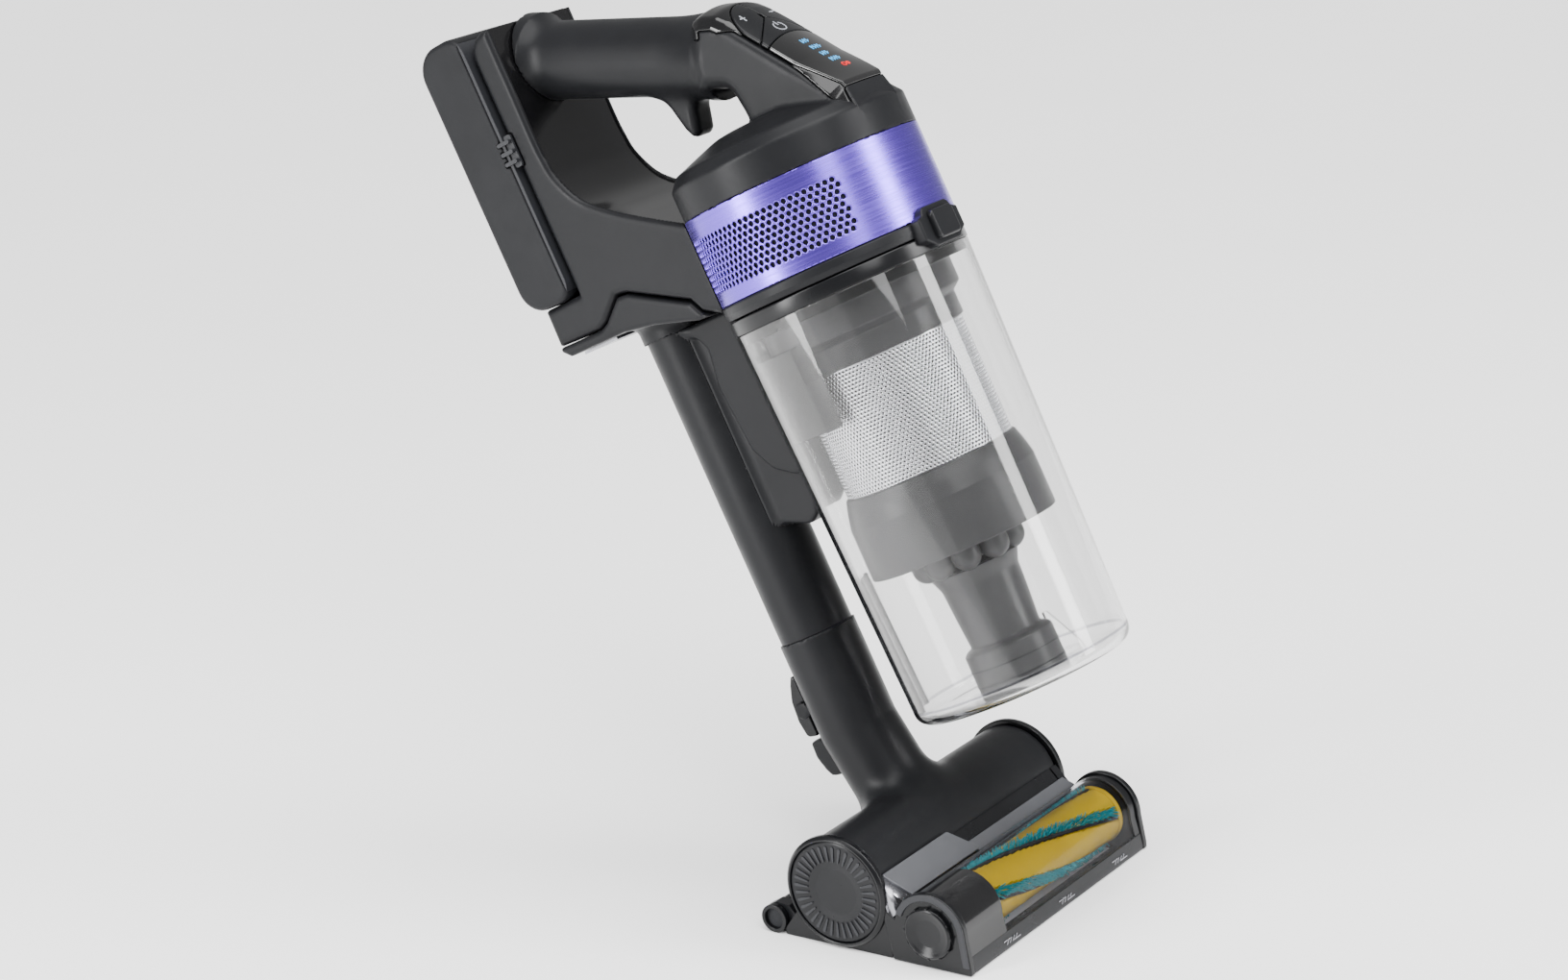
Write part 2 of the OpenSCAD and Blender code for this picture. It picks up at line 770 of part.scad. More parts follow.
module cheek_r() {
  color(gloss) cheek(1);
}

module end_disc(side) {
  on_pivot() mirror([0, 0, side > 0 ? 0 : 1]) {
    translate([0, 0, 85.1]) cylinder(r = 26.4, h = 1.1);
    translate([0, 0, 86]) cylinder(r = 9, h = 0.7);
    translate([0, 0, 82.6]) cylinder(r = 2.9, h = 2.6, $fn = 32);
    for (i = [0:35]) rotate([0, 0, i * 10]) translate([15.5, -0.45, 86]) cube([8.5, 0.9, 0.9]);
  }
}

module end_disc_l() {
  color(charcoal) end_disc(-1);
}

module end_disc_r() {
  color(charcoal) end_disc(1);
}

module top_plate() {
  color(grey) difference() {
    translate([0, -36.9, 27.8]) rotate([46.6, 0, 0]) difference() {
      union() {
        translate([-80, 0.5, 0.05]) cube([54, 17.6, 2.6]);
        translate([-30, 0.5, 0.05]) cube([16, 5, 2.6]);
      }
      translate([-26, 0.5, -1]) rotate([0, 0, -45]) translate([0, 0.5, 0]) cube([40, 40, 6]);
    }
    translate([0, 0, pivot_z]) rotate([0, 90, 0])
      translate([0, 0, -90]) cylinder(r = swivel_r + 0.5, h = 180, $fn = 96);
  }
}

module trim_bar() {
  color(silver) translate([0, -36.9, 27.8]) rotate([46.6, 0, 0]) box(-13.6, 79, 0.5, 8, 0.05, 2);
}

module lid_profile(wall) {
  outer = concat(arc_points(brush_y, brush_z, lid_r, 38, 180, 16), [[-75.4, 2.8]]);
  inner = concat(arc_points(brush_y, brush_z, lid_r - wall, 38, 180, 16), [[-75.4 + wall, 2.8]]);
  polygon(concat(outer, reversed(inner)));
}

module brush_window() {
  color(smoke) along_x(-49.8, 76.8) lid_profile(lid_wall);
}

module end_cover_shape() {
  polygon(concat([[-76.4, 0], [-76.4, 3]], reversed(arc_points(brush_y, brush_z, 20, 50, 180, 14)),
    [[-31, 30], [-30.9, 0]]));
}

module end_cover_l() {
  color(gloss) {
    difference() {
      along_x(-87, -82.8) end_cover_shape();
      on_brush() translate([0, 0, -90]) cylinder(r = 8.08, h = 10);
      translate([0, 0, pivot_z]) rotate([0, 90, 0])
        translate([0, 0, -90]) cylinder(r = 28.7, h = 20, $fn = 96);
      box(-90, -80, -30.7, 0, -1, 60);
    }
    along_x(-76.8, -50) lid_profile(lid_wall);
    along_x(-82.8, -76.8) lid_cap();
  }
}

// Short arch that carries the lid over the side wall.
module lid_cap() {
  outer = arc_points(brush_y, brush_z, 20, 60, 170, 14);
  inner = arc_points(brush_y, brush_z, 18.3, 60, 170, 14);
  polygon(concat(outer, reversed(inner)));
}

module end_cover_r() {
  color(gloss) {
    difference() {
      along_x(82.8, 87) end_cover_shape();
      translate([0, 0, pivot_z]) rotate([0, 90, 0])
        translate([0, 0, 70]) cylinder(r = 28.7, h = 20, $fn = 96);
      box(80, 90, -30.7, 0, -1, 60);
    }
    along_x(77, 82.8) lid_cap();
  }
}

module brush_motor() {
  color(silver) on_pivot() {
    translate([0, 0, 34]) cylinder(r = 16, h = 38);
    translate([0, 0, 72]) cylinder(r = 6, h = 4);
    translate([0, 0, 30]) cylinder(r = 5, h = 4);
    translate([0, 0, 76]) cylinder(r = 2.9, h = 6, $fn = 32);
  }
}

module brush_core() {
  color(yellow) on_brush() {
    translate([0, 0, -72]) cylinder(r = core_r, h = 144);
    for (s = [0, 1]) mirror([0, 0, s]) {
      translate([0, 0, 72]) cylinder(r = 14, h = 3);
      translate([0, 0, 75]) cylinder(r = 4, h = 7);
    }
  }
}

module brush_strips() {
  segments = 12;
  pitch = 142 / segments;
  color(teal) on_brush() difference() {
    for (k = [0:strip_count - 1]) {
      for (i = [0:segments - 1]) {
        rotate([0, 0, k * 360 / strip_count + i * 7.5])
          translate([core_r - 1, -1.4, -71 + i * pitch])
            cube([bristle_r - core_r + 1, 2.8, pitch + (i < segments - 1 ? 0.5 : 0)]);
      }
    }
    translate([0, 0, -80]) cylinder(r = core_r + 0.05, h = 160);
  }
}

module brush_knob() {
  color(gloss) on_brush() mirror([0, 0, 1]) {
    translate([0, 0, 83]) cylinder(r = 8, h = 5.2);
    translate([0, 0, 88]) cylinder(r = 12.8, h = 1.2);
    for (i = [0:11]) rotate([0, 0, i * 30]) translate([11.2, -0.6, 89]) cube([1.2, 1.2, 0.7]);
    translate([-8, -1.2, 89]) cube([16, 2.4, 1]);
  }
}

module rear_roller() {
  color(gloss) translate([0, 39, rear_r + 0.3]) rotate([0, 90, 0]) difference() {
    union() {
      translate([0, 0, -75.4]) cylinder(r = rear_r, h = 150.8);
      translate([0, 0, -82]) cylinder(r = 3, h = 164, $fn = 48);
    }
    translate([0, 0, -90]) cylinder(r = 1.5, h = 180, $fn = 32);
  }
}

housing_left();
housing_right();
recess_liner();
lower_trim();
dock_plate();
dock_contacts();
main_board();
battery_terminals();
grip_left();
grip_right();
finger_stop();
head_shell();
head_trim();
display_lens();
power_button();
plus_button();
minus_button();
motor_cover();
exhaust_band();
exhaust_filter();
motor_can();
impeller();
body_ring();
bin_button();
suction_tube();
tube_fairing();
battery_case();
battery_plate();
battery_cells();
battery_button_l();
battery_button_r();
bin_cup();
bin_collar();
cyclone_cap();
pre_filter();
mesh_screen();
skirt_ring();
cyclone_lobes();
collector_tube();
inlet_duct();
neck_body();
latch_lever();
tool_base();
cheek_l();
cheek_r();
end_disc_l();
end_disc_r();
top_plate();
trim_bar();
brush_window();
end_cover_l();
end_cover_r();
brush_motor();
brush_core();
brush_strips();
brush_knob();
rear_roller();
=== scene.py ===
import math

import bpy
import numpy as np
from mathutils import Matrix, Vector


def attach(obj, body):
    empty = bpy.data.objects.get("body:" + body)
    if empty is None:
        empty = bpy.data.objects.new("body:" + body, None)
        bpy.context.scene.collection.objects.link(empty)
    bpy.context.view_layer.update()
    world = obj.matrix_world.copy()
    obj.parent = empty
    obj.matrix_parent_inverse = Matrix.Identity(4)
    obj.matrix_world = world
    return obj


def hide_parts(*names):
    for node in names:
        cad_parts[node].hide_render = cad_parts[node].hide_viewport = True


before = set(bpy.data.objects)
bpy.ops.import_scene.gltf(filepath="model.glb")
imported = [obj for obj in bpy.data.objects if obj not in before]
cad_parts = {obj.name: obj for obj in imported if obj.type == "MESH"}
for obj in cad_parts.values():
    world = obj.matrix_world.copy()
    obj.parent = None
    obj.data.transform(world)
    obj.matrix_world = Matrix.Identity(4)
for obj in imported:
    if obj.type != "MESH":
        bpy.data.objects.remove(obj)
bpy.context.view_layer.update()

# ---- driving sizes (millimetres)
LEAN = 24.7                         # degrees from upright
PIVOT_Z = 30.0                      # swivel axis of the tool above the floor
TUBE_BACK = 15.0                    # tube axis behind the swivel axis
BIN_OFF = 110.0                     # bin axis in front of the tube axis
BRUSH_Y, BRUSH_Z = -54.0, 19.0      # brush axis
GRIP_Z, GRIP_TILT = 434.5, 110.9    # where the grip meets the battery side, and its angle
PANEL_Y, PANEL_Z, PANEL_TILT = -166.5, 359.0, 49.9
CROWN = 0.0088                      # fall of the panel towards its sides
BODY_HALF = 35.0                    # half the width of the housings
LINER_HALF = 31.8                   # the same, inside their walls
BATTERY_HALF = 38.0
HEAD_HALF = 22.4
BAND_R = 62.2                       # outside of the exhaust band
SHELL_BORE, FAIRING_BORE = 62.8, 63.4   # cuts round the band in the housings and the fairing
TUBE_R = 19.5                       # outside of the suction tube
NECK_R = 20.6
DISC_R = 29.2                       # rim round each end of the swivel barrel
END_X, END_OUT = 82.8, 86.4         # inner and outer face of the end covers
ROLLER_Y, ROLLER_R = 39.0, 7.0
GROUND_GAP = 0.3


# ---- frames


def T(x, y, z):
    return Matrix.Translation((x, y, z))


def RX(deg):
    return Matrix.Rotation(math.radians(deg), 4, "X")


ROW = Matrix.Identity(4)
TUBE = T(0, 0, PIVOT_Z) @ RX(-LEAN) @ T(0, TUBE_BACK, 0)
BIN = TUBE @ T(0, -BIN_OFF, 0)
PANEL = TUBE @ T(0, PANEL_Y, PANEL_Z) @ RX(PANEL_TILT)
BRUSH = T(0, BRUSH_Y, BRUSH_Z)
PIVOT = T(0, 0, PIVOT_Z)
MM = Matrix.Scale(0.001, 4)

# ---- materials


def srgb(r, g, b):
    def lin(c):
        return c / 12.92 if c <= 0.04045 else ((c + 0.055) / 1.055) ** 2.4
    return (lin(r), lin(g), lin(b), 1.0)


M = {}


def material(key, name, rgb, rough, metal=0.0, bump=None, depth=0.0002, rough_var=None, tint=None,
             spec=None, coord="Object", stretch=(1, 1, 1), **sockets):
    """Adds a Principled material to M. bump = (scale, strength), with depth in metres.
    rough_var = (scale, low, high). tint = (scale, second colour, low, high), mixed in by noise."""
    m = M[key] = bpy.data.materials.new(name)
    m.use_nodes = True
    tree = m.node_tree
    bsdf = tree.nodes["Principled BSDF"]

    def fill(node, values):
        for k, v in values.items():
            node.inputs[k.replace("_", " ")].default_value = v
        return node

    def node(kind, **values):
        return fill(tree.nodes.new("ShaderNode" + kind), values)

    def link(a, out, b, into):
        tree.links.new(a.outputs[out], b.inputs[into])

    fill(bsdf, dict(Base_Color=srgb(*rgb), Roughness=rough, Metallic=metal, **sockets))
    if spec is not None:
        fill(bsdf, {"Specular_IOR_Level": spec})
    place = node("Mapping", Scale=stretch)
    link(node("TexCoord"), coord, place, "Vector")

    def noise(scale, detail, b, into):
        n = node("TexNoise", Scale=scale, Detail=detail, Roughness=0.6)
        link(place, "Vector", n, "Vector")
        link(n, "Fac", b, into)

    if tint:
        scale, second, low, high = tint
        ramp = node("ValToRGB")
        ends = ramp.color_ramp.elements
        ends[0].position, ends[0].color = low, srgb(*rgb)
        ends[1].position, ends[1].color = high, srgb(*second)
        noise(scale, 4.0, ramp, "Fac")
        link(ramp, "Color", bsdf, "Base Color")
    if rough_var:
        scale, low, high = rough_var
        spread = node("MapRange", From_Min=0.3, From_Max=0.7, To_Min=low, To_Max=high)
        noise(scale, 3.0, spread, "Value")
        link(spread, "Result", bsdf, "Roughness")
    if bump:
        scale, strength = bump
        relief = node("Bump", Strength=strength, Distance=depth)
        noise(scale, 2.0, relief, "Height")
        link(relief, "Normal", bsdf, "Normal")
    return m


material("charcoal", "charcoal", (0.08, 0.082, 0.09), 0.38, bump=(2600, 0.12),
         rough_var=(60, 0.34, 0.43), spec=0.15, tint=(18, (0.092, 0.094, 0.102), 0.35, 0.75))
material("satin", "satin", (0.07, 0.072, 0.08), 0.3, bump=(2600, 0.06), rough_var=(70, 0.26, 0.34),
         spec=0.2, tint=(20, (0.1, 0.102, 0.11), 0.35, 0.75))
material("battery", "battery_shell", (0.09, 0.092, 0.1), 0.46, bump=(2200, 0.16),
         rough_var=(60, 0.43, 0.53), spec=0.14, tint=(18, (0.115, 0.117, 0.125), 0.35, 0.75))
material("gloss", "gloss", (0.05, 0.05, 0.055), 0.14, rough_var=(40, 0.1, 0.18),
         tint=(12, (0.06, 0.06, 0.065), 0.4, 0.7), spec=0.35, Coat_Weight=0.15,
         Coat_Roughness=0.04)
material("rim", "rim_black", (0.05, 0.052, 0.06), 0.24, bump=(2400, 0.05),
         rough_var=(60, 0.2, 0.28), spec=0.25)
material("grey", "cyclone_grey", (0.24, 0.24, 0.245), 0.36, bump=(2400, 0.08),
         rough_var=(60, 0.32, 0.42), spec=0.3, tint=(20, (0.27, 0.27, 0.275), 0.35, 0.75))
# Bracket grey: the own colour of the end arch, the disc ribs and the collector's seams; on the
# battery rim and the grip tabs it is a painted highlight.
material("bracket", "bracket_grey_and_highlight", (0.15, 0.153, 0.165), 0.38, bump=(2400, 0.1),
         rough_var=(60, 0.36, 0.46), spec=0.25)
material("plate", "plate_grey", (0.36, 0.365, 0.38), 0.36, metal=0.5, bump=(2600, 0.1),
         rough_var=(80, 0.33, 0.43))
material("silver", "silver", (0.6, 0.6, 0.62), 0.3, metal=0.9, rough_var=(120, 0.2, 0.32),
         bump=(1500, 0.04))
material("mesh", "mesh_steel", (0.86, 0.865, 0.88), 0.2, metal=1.0, rough_var=(90, 0.16, 0.26))
material("violet", "violet_metal", (0.43, 0.32, 0.82), 0.26, metal=1.0, coord="UV",
         stretch=(1.0, 60.0, 1.0), rough_var=(14, 0.22, 0.32),
         tint=(9, (0.47, 0.36, 0.86), 0.3, 0.7))
material("clear", "clear_bin", (0.95, 0.95, 0.95), 0.04, rough_var=(30, 0.03, 0.06),
         Transmission_Weight=1.0, IOR=1.45)
material("smoke", "smoke_window", (0.8, 0.8, 0.82), 0.04, rough_var=(30, 0.03, 0.06),
         Transmission_Weight=1.0, IOR=1.15)
material("lens", "display_glass", (0.03, 0.03, 0.035), 0.06, rough_var=(50, 0.04, 0.08),
         Coat_Weight=0.6, Coat_Roughness=0.03)
material("yellow", "yellow_core", (0.82, 0.68, 0.02), 0.45, bump=(900, 0.1),
         rough_var=(60, 0.35, 0.46), spec=0.2, tint=(40, (0.78, 0.64, 0.02), 0.4, 0.7))
material("teal", "teal_bristle", (0.04, 0.62, 0.64), 0.5, rough_var=(200, 0.42, 0.6),
         tint=(600, (0.1, 0.76, 0.78), 0.35, 0.7), spec=0.2)
# Dark felt: the brush's felt strips and the hub wells, and also the dark sheets behind the band's
# and the mesh's holes, which are painted shade.
material("felt", "dark_felt_and_shade", (0.07, 0.075, 0.085), 0.9, bump=(1800, 0.6), depth=0.0004,
         tint=(900, (0.12, 0.125, 0.14), 0.3, 0.7))
material("copper", "contact_metal", (0.8, 0.6, 0.35), 0.25, metal=1.0, rough_var=(200, 0.2, 0.35))
material("board", "board_green", (0.08, 0.3, 0.17), 0.4, rough_var=(150, 0.3, 0.5),
         tint=(300, (0.1, 0.36, 0.2), 0.4, 0.6))
material("foam", "filter_foam", (0.62, 0.64, 0.66), 0.95, bump=(1200, 0.8), depth=0.0006,
         tint=(700, (0.5, 0.52, 0.54), 0.35, 0.65))
material("cell", "cell_wrap", (0.15, 0.5, 0.52), 0.35, rough_var=(60, 0.28, 0.42))
material("alloy", "motor_alloy", (0.7, 0.7, 0.72), 0.35, metal=1.0, rough_var=(160, 0.28, 0.42),
         bump=(900, 0.08))
material("mark", "grey_mark", (0.62, 0.63, 0.66), 0.5, rough_var=(300, 0.45, 0.55))


for name, rgb, strength in (("blue_led", (0.25, 0.62, 0.85), 0.7),
                            ("red_led", (0.8, 0.08, 0.1), 0.8)):
    material(name, name, rgb, 0.4, rough_var=(300, 0.35, 0.45), Emission_Color=srgb(*rgb),
             Emission_Strength=strength)

# the record's slots and the materials listed under each
SLOTS = {"charcoal_shell": "charcoal battery", "gloss_black": "gloss rim satin lens red_led",
         "grey_plastic": "grey bracket", "silver_trim": "plate silver mark", "mesh_steel": "mesh",
         "violet_metal": "violet", "clear_plastic": "clear", "smoke_plastic": "smoke",
         "yellow_core": "yellow", "teal_bristle": "teal blue_led", "foam": "felt"}
SLOT_OF = {mat: slot for slot, mats in SLOTS.items() for mat in mats.split()}

# ---- mesh helpers


def new_object(name, data):
    ob = bpy.data.objects.new(name, data)
    bpy.context.scene.collection.objects.link(ob)
    return ob


def add(name, verts, faces, mat, body, frame_m=TUBE, replaces="", slot=None, sharp=35,
        bevel=None, uv=None):
    """Adds a piece that rides on body: verts are millimetres in frame_m, replaces names the CAD
    nodes it shows, and slot, the record's slot where the material's own isn't meant, is not used."""
    me = bpy.data.meshes.new(name)
    verts = np.asarray(verts, float)
    mat4 = np.array(MM @ frame_m)
    world = verts @ mat4[:3, :3].T + mat4[:3, 3]
    me.from_pydata(world.tolist(), [], [list(map(int, f)) for f in faces])
    if uv is not None:
        layer = me.uv_layers.new(name="UVMap")
        loops = np.zeros(len(me.loops), np.int32)
        me.loops.foreach_get("vertex_index", loops)
        layer.data.foreach_set("uv", np.asarray(uv, float)[loops].ravel())
    me.validate()
    me.shade_smooth()
    if sharp:
        me.set_sharp_from_angle(angle=math.radians(sharp))
    ob = new_object(name, me)
    me.materials.append(M[mat])
    if bevel:
        b = ob.modifiers.new("edge", "BEVEL")
        b.width = bevel * 0.001
        b.segments = 3
        b.limit_method = "ANGLE"
        b.angle_limit = math.radians(32)
        b.harden_normals = True
    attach(ob, body)
    if replaces:
        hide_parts(*replaces.split())
    slot or SLOT_OF[mat]
    return ob


def fillet(pts, radius, steps=5):
    """Rounds the corners of a closed 2D polygon. radius is one number, or one for each corner from
    the first, and 0 for those left out."""
    out, n = [], len(pts)
    for i, p in enumerate(pts):
        r = radius if isinstance(radius, (int, float)) else (radius + [0] * n)[i]
        p = np.array(p, float)
        a, b = np.array(pts[i - 1], float), np.array(pts[(i + 1) % n], float)
        da, db = a - p, b - p
        la, lb = np.linalg.norm(da), np.linalg.norm(db)
        da, db = da / la, db / lb
        ang = math.acos(max(-1, min(1, float(da @ db))))
        if r <= 0 or ang > math.radians(176) or ang < 0.05:
            out.append(tuple(p))
            continue
        t = min(r / math.tan(ang / 2), 0.48 * la, 0.48 * lb)
        r2 = t * math.tan(ang / 2)
        c = p + (da + db) / np.linalg.norm(da + db) * r2 / math.sin(ang / 2)
        s, e = p + da * t - c, p + db * t - c
        a0 = math.atan2(s[1], s[0])
        d = (math.atan2(e[1], e[0]) - a0 + math.pi) % (2 * math.pi) - math.pi
        for k in range(steps + 1):
            a1 = a0 + d * k / steps
            out.append((c[0] + r2 * math.cos(a1), c[1] + r2 * math.sin(a1)))
    return out


def arc(cy, cz, r, a0, a1, steps):
    """Points of an arc round (cy, cz), from a0 to a1 degrees."""
    return [(cy + r * math.cos(math.radians(a0 + (a1 - a0) * i / steps)),
             cz + r * math.sin(math.radians(a0 + (a1 - a0) * i / steps)))
            for i in range(steps + 1)]


def prism(pts, x0, x1):
    """Closed prism of a (y, z) outline between two x positions."""
    n = len(pts)
    area = sum(pts[i - 1][0] * pts[i][1] - pts[i][0] * pts[i - 1][1] for i in range(n))
    if area < 0:
        pts = pts[::-1]
    v = [(x0, y, z) for y, z in pts] + [(x1, y, z) for y, z in pts]
    f = [list(range(n))[::-1], list(range(n, 2 * n))]
    f += [[i, (i + 1) % n, n + (i + 1) % n, n + i] for i in range(n)]
    return v, f


def slab(outline, z0, z1):
    """Closed prism of an (x, y) outline between two z positions."""
    v, f = prism(outline, z0, z1)
    return [(b, c, a) for a, b, c in v], f


def lathe(profile, n=128, axis="z", a0=0.0, a1=360.0):
    """Revolves a closed (r, z) outline. Points with r = 0 share one vertex."""
    full = abs(a1 - a0) >= 359.99
    cols = n if full else n + 1
    area = sum(profile[i - 1][0] * profile[i][1] - profile[i][0] * profile[i - 1][1]
               for i in range(len(profile)))
    if area < 0:
        profile = profile[::-1]
    verts, index = [], []
    for r, z in profile:
        if r < 1e-6:
            index.append([len(verts)] * cols)
            verts.append((0, 0, z))
        else:
            index.append(list(range(len(verts), len(verts) + cols)))
            for k in range(cols):
                a = math.radians(a0 + (a1 - a0) * k / n)
                verts.append((r * math.cos(a), r * math.sin(a), z))
    faces = []
    m = len(profile)
    for i in range(m):
        lo, hi = index[i], index[(i + 1) % m]
        for k in range(n):
            k2 = (k + 1) % cols
            q = [lo[k], lo[k2], hi[k2], hi[k]]
            q = [v for j, v in enumerate(q) if v != q[j - 1]]
            if len(set(q)) >= 3:
                faces.append(q)
    if not full:
        faces.append([c[0] for c in index][::-1])
        faces.append([c[-1] for c in index])
    if axis == "x":
        verts = [(z, x, y) for x, y, z in verts]
    return verts, faces


def join(*parts):
    """Several meshes as one."""
    verts, faces = [], []
    for v, f in parts:
        o = len(verts)
        verts += [tuple(p) for p in v]
        faces += [[i + o for i in q] for q in f]
    return verts, faces


def moved(part, m):
    """A mesh with a matrix applied."""
    v, f = part
    return [tuple(m @ Vector(p)) for p in v], f


def bar(x0, x1, y0, y1, z0, z1):
    """A closed box."""
    return prism([(y0, z0), (y1, z0), (y1, z1), (y0, z1)], x0, x1)


# ---- signed distance surfaces
_cache = {}


def poly(y, z, pts):
    """Signed distance to a closed polygon in the (y, z) plane."""
    key = (id(y), id(pts))
    if key in _cache:
        return _cache[key][0]
    d = np.full(y.shape, 1e9)
    s = np.ones(y.shape)
    n = len(pts)
    for i in range(n):
        ay, az = pts[i]
        by, bz = pts[i - 1]
        ey, ez = by - ay, bz - az
        wy, wz = y - ay, z - az
        t = np.clip((wy * ey + wz * ez) / (ey * ey + ez * ez + 1e-12), 0, 1)
        d = np.minimum(d, (wy - ey * t) ** 2 + (wz - ez * t) ** 2)
        c1, c2, c3 = z >= az, z < bz, ey * wz > ez * wy
        s = np.where((c1 & c2 & c3) | (~c1 & ~c2 & ~c3), -s, s)
    out = s * np.sqrt(d)
    _cache[key] = (out, y, pts)
    return out


def extrude(d2, w, r):
    """A 2D distance d2 and a distance w along the extrusion make a solid with edge radius r."""
    a, b = d2 + r, w + r
    return np.minimum(np.maximum(a, b), 0) + np.hypot(np.maximum(a, 0), np.maximum(b, 0)) - r


def inter(d, *more):
    """Intersection of distances."""
    for e in more:
        d = np.maximum(d, e)
    return d


def smin(a, b, k):
    """Union of two distances, blended over k."""
    h = np.clip(0.5 + 0.5 * (b - a) / k, 0, 1)
    return b * (1 - h) + a * h - k * h * (1 - h)


def smax(a, b, k):
    """Intersection of two distances, blended over k."""
    return -smin(-a, -b, k)


def mesh_sdf(f, lo, hi, step):
    """Surface nets on a regular grid, then each vertex is moved onto the surface."""
    ax = [np.arange(lo[i], hi[i] + step, step) for i in range(3)]
    yy, zz = np.meshgrid(ax[1], ax[2], indexing="ij")
    d = np.stack([f(np.full(yy.shape, x), yy, zz) for x in ax[0]]).astype(np.float64)
    s = d < 0
    corners = [(i, j, k) for i in (0, 1) for j in (0, 1) for k in (0, 1)]
    nx, ny, nz = d.shape

    def part(a, c):
        return a[c[0]:nx - 1 + c[0], c[1]:ny - 1 + c[1], c[2]:nz - 1 + c[2]]

    count = sum(part(s, c).astype(np.int8) for c in corners)
    cells = np.argwhere((count > 0) & (count < 8))
    ids = np.full((nx - 1, ny - 1, nz - 1), -1, np.int64)
    ids[tuple(cells.T)] = np.arange(len(cells))
    vals = {c: d[cells[:, 0] + c[0], cells[:, 1] + c[1], cells[:, 2] + c[2]] for c in corners}
    acc, num = np.zeros((len(cells), 3)), np.zeros(len(cells))
    for c in corners:
        for axis in range(3):
            if c[axis]:
                continue
            e = tuple(1 if i == axis else c[i] for i in range(3))
            a, b = vals[c], vals[e]
            hit = (a < 0) != (b < 0)
            t = np.where(hit, a / np.where(hit, a - b, 1), 0)
            p = np.array(c, float)[None, :].repeat(len(cells), 0)
            p[:, axis] = t
            acc += p * hit[:, None]
            num += hit
    pts = (cells + acc / num[:, None]) * step + np.array([a[0] for a in ax])
    quads = []
    for axis in range(3):
        u, v = (axis + 1) % 3, (axis + 2) % 3
        a = np.take(s, range(0, s.shape[axis] - 1), axis)
        b = np.take(s, range(1, s.shape[axis]), axis)
        e = np.argwhere(a != b)
        e = e[(e[:, u] > 0) & (e[:, v] > 0)]
        e = e[(e[:, u] < s.shape[u] - 1) & (e[:, v] < s.shape[v] - 1)]
        inside = a[tuple(e.T)]
        du, dv = np.eye(3, dtype=int)[u], np.eye(3, dtype=int)[v]
        q = np.stack([ids[tuple((e - du - dv).T)], ids[tuple((e - dv).T)],
                      ids[tuple(e.T)], ids[tuple((e - du).T)]], 1)
        q[~inside] = q[~inside][:, ::-1]
        quads.append(q)
    quads = np.concatenate(quads)
    h = 0.25 * step
    for _ in range(3):
        x, y, z = pts.T.copy()
        d0 = f(x, y, z)
        g = np.stack([f(x + h, y, z) - f(x - h, y, z), f(x, y + h, z) - f(x, y - h, z),
                      f(x, y, z + h) - f(x, y, z - h)], 1) / (2 * h)
        move = g * (d0 / np.maximum((g * g).sum(1), 0.2))[:, None]
        pts -= np.clip(move, -0.6 * step, 0.6 * step)
    _cache.clear()
    return pts, quads


def path(points, per=6):
    """Catmull-Rom curve through 2D points."""
    p = [np.array(q, float) for q in points]
    p = [2 * p[0] - p[1]] + p + [2 * p[-1] - p[-2]]
    out = []
    for i in range(1, len(p) - 2):
        for k in range(per):
            t = k / per
            a, b, c, d = p[i - 1], p[i], p[i + 1], p[i + 2]
            q = 0.5 * (2 * b + (c - a) * t + (2 * a - 5 * b + 4 * c - d) * t * t
                       + (3 * b - a - 3 * c + d) * t ** 3)
            out.append((float(q[0]), float(q[1])))
    out.append(tuple(map(float, p[-2])))
    return out


# ---- camera, floor and light
CAM_AZIMUTH, CAM_HEIGHT, CAM_ROLL = -53.84, 17.37, -4.32    # degrees
CAM_TARGET, CAM_DISTANCE = (-4.91, 72.44, 204.61), 1752.21
CAM_LENS, CAM_SENSOR = 79.44132, 36.0
FLOOR_HALF = 6.0                                            # metres


def camera():
    az, el, roll = map(math.radians, (CAM_AZIMUTH, CAM_HEIGHT, CAM_ROLL))
    back = Vector((math.sin(az) * math.cos(el), -math.cos(az) * math.cos(el), math.sin(el)))
    level = Vector((math.cos(az), math.sin(az), 0))
    up = back.cross(level)
    right = level * math.cos(roll) + up * math.sin(roll)
    up = -level * math.sin(roll) + up * math.cos(roll)
    cam = bpy.data.cameras.new("camera")
    cam.sensor_width, cam.lens, cam.clip_start = CAM_SENSOR, CAM_LENS, 0.05
    ob = new_object("camera", cam)
    m = Matrix((right, up, back)).transposed().to_4x4()
    m.translation = (Vector(CAM_TARGET) + back * CAM_DISTANCE) * 0.001
    ob.matrix_world = m
    bpy.context.scene.camera = ob


def floor():
    me = bpy.data.meshes.new("floor")
    s = FLOOR_HALF
    me.from_pydata([(-s, -s, 0), (s, -s, 0), (s, s, 0), (-s, s, 0)], [], [(0, 1, 2, 3)])
    white = material("floor", "floor", (0.99, 0.99, 0.99), 0.7, rough_var=(3, 0.65, 0.75))
    me.materials.append(white)
    ob = new_object("floor", me)


def soft_box(name, at, to, power, wide, high):
    """A soft box at one place that points to another. Metres."""
    lamp = bpy.data.lights.new(name, "AREA")
    lamp.shape, lamp.size, lamp.size_y, lamp.energy = "RECTANGLE", wide, high, power
    ob = new_object(name, lamp)
    ob.location = at
    ob.rotation_euler = (Vector(to) - Vector(at)).to_track_quat("-Z", "Y").to_euler()


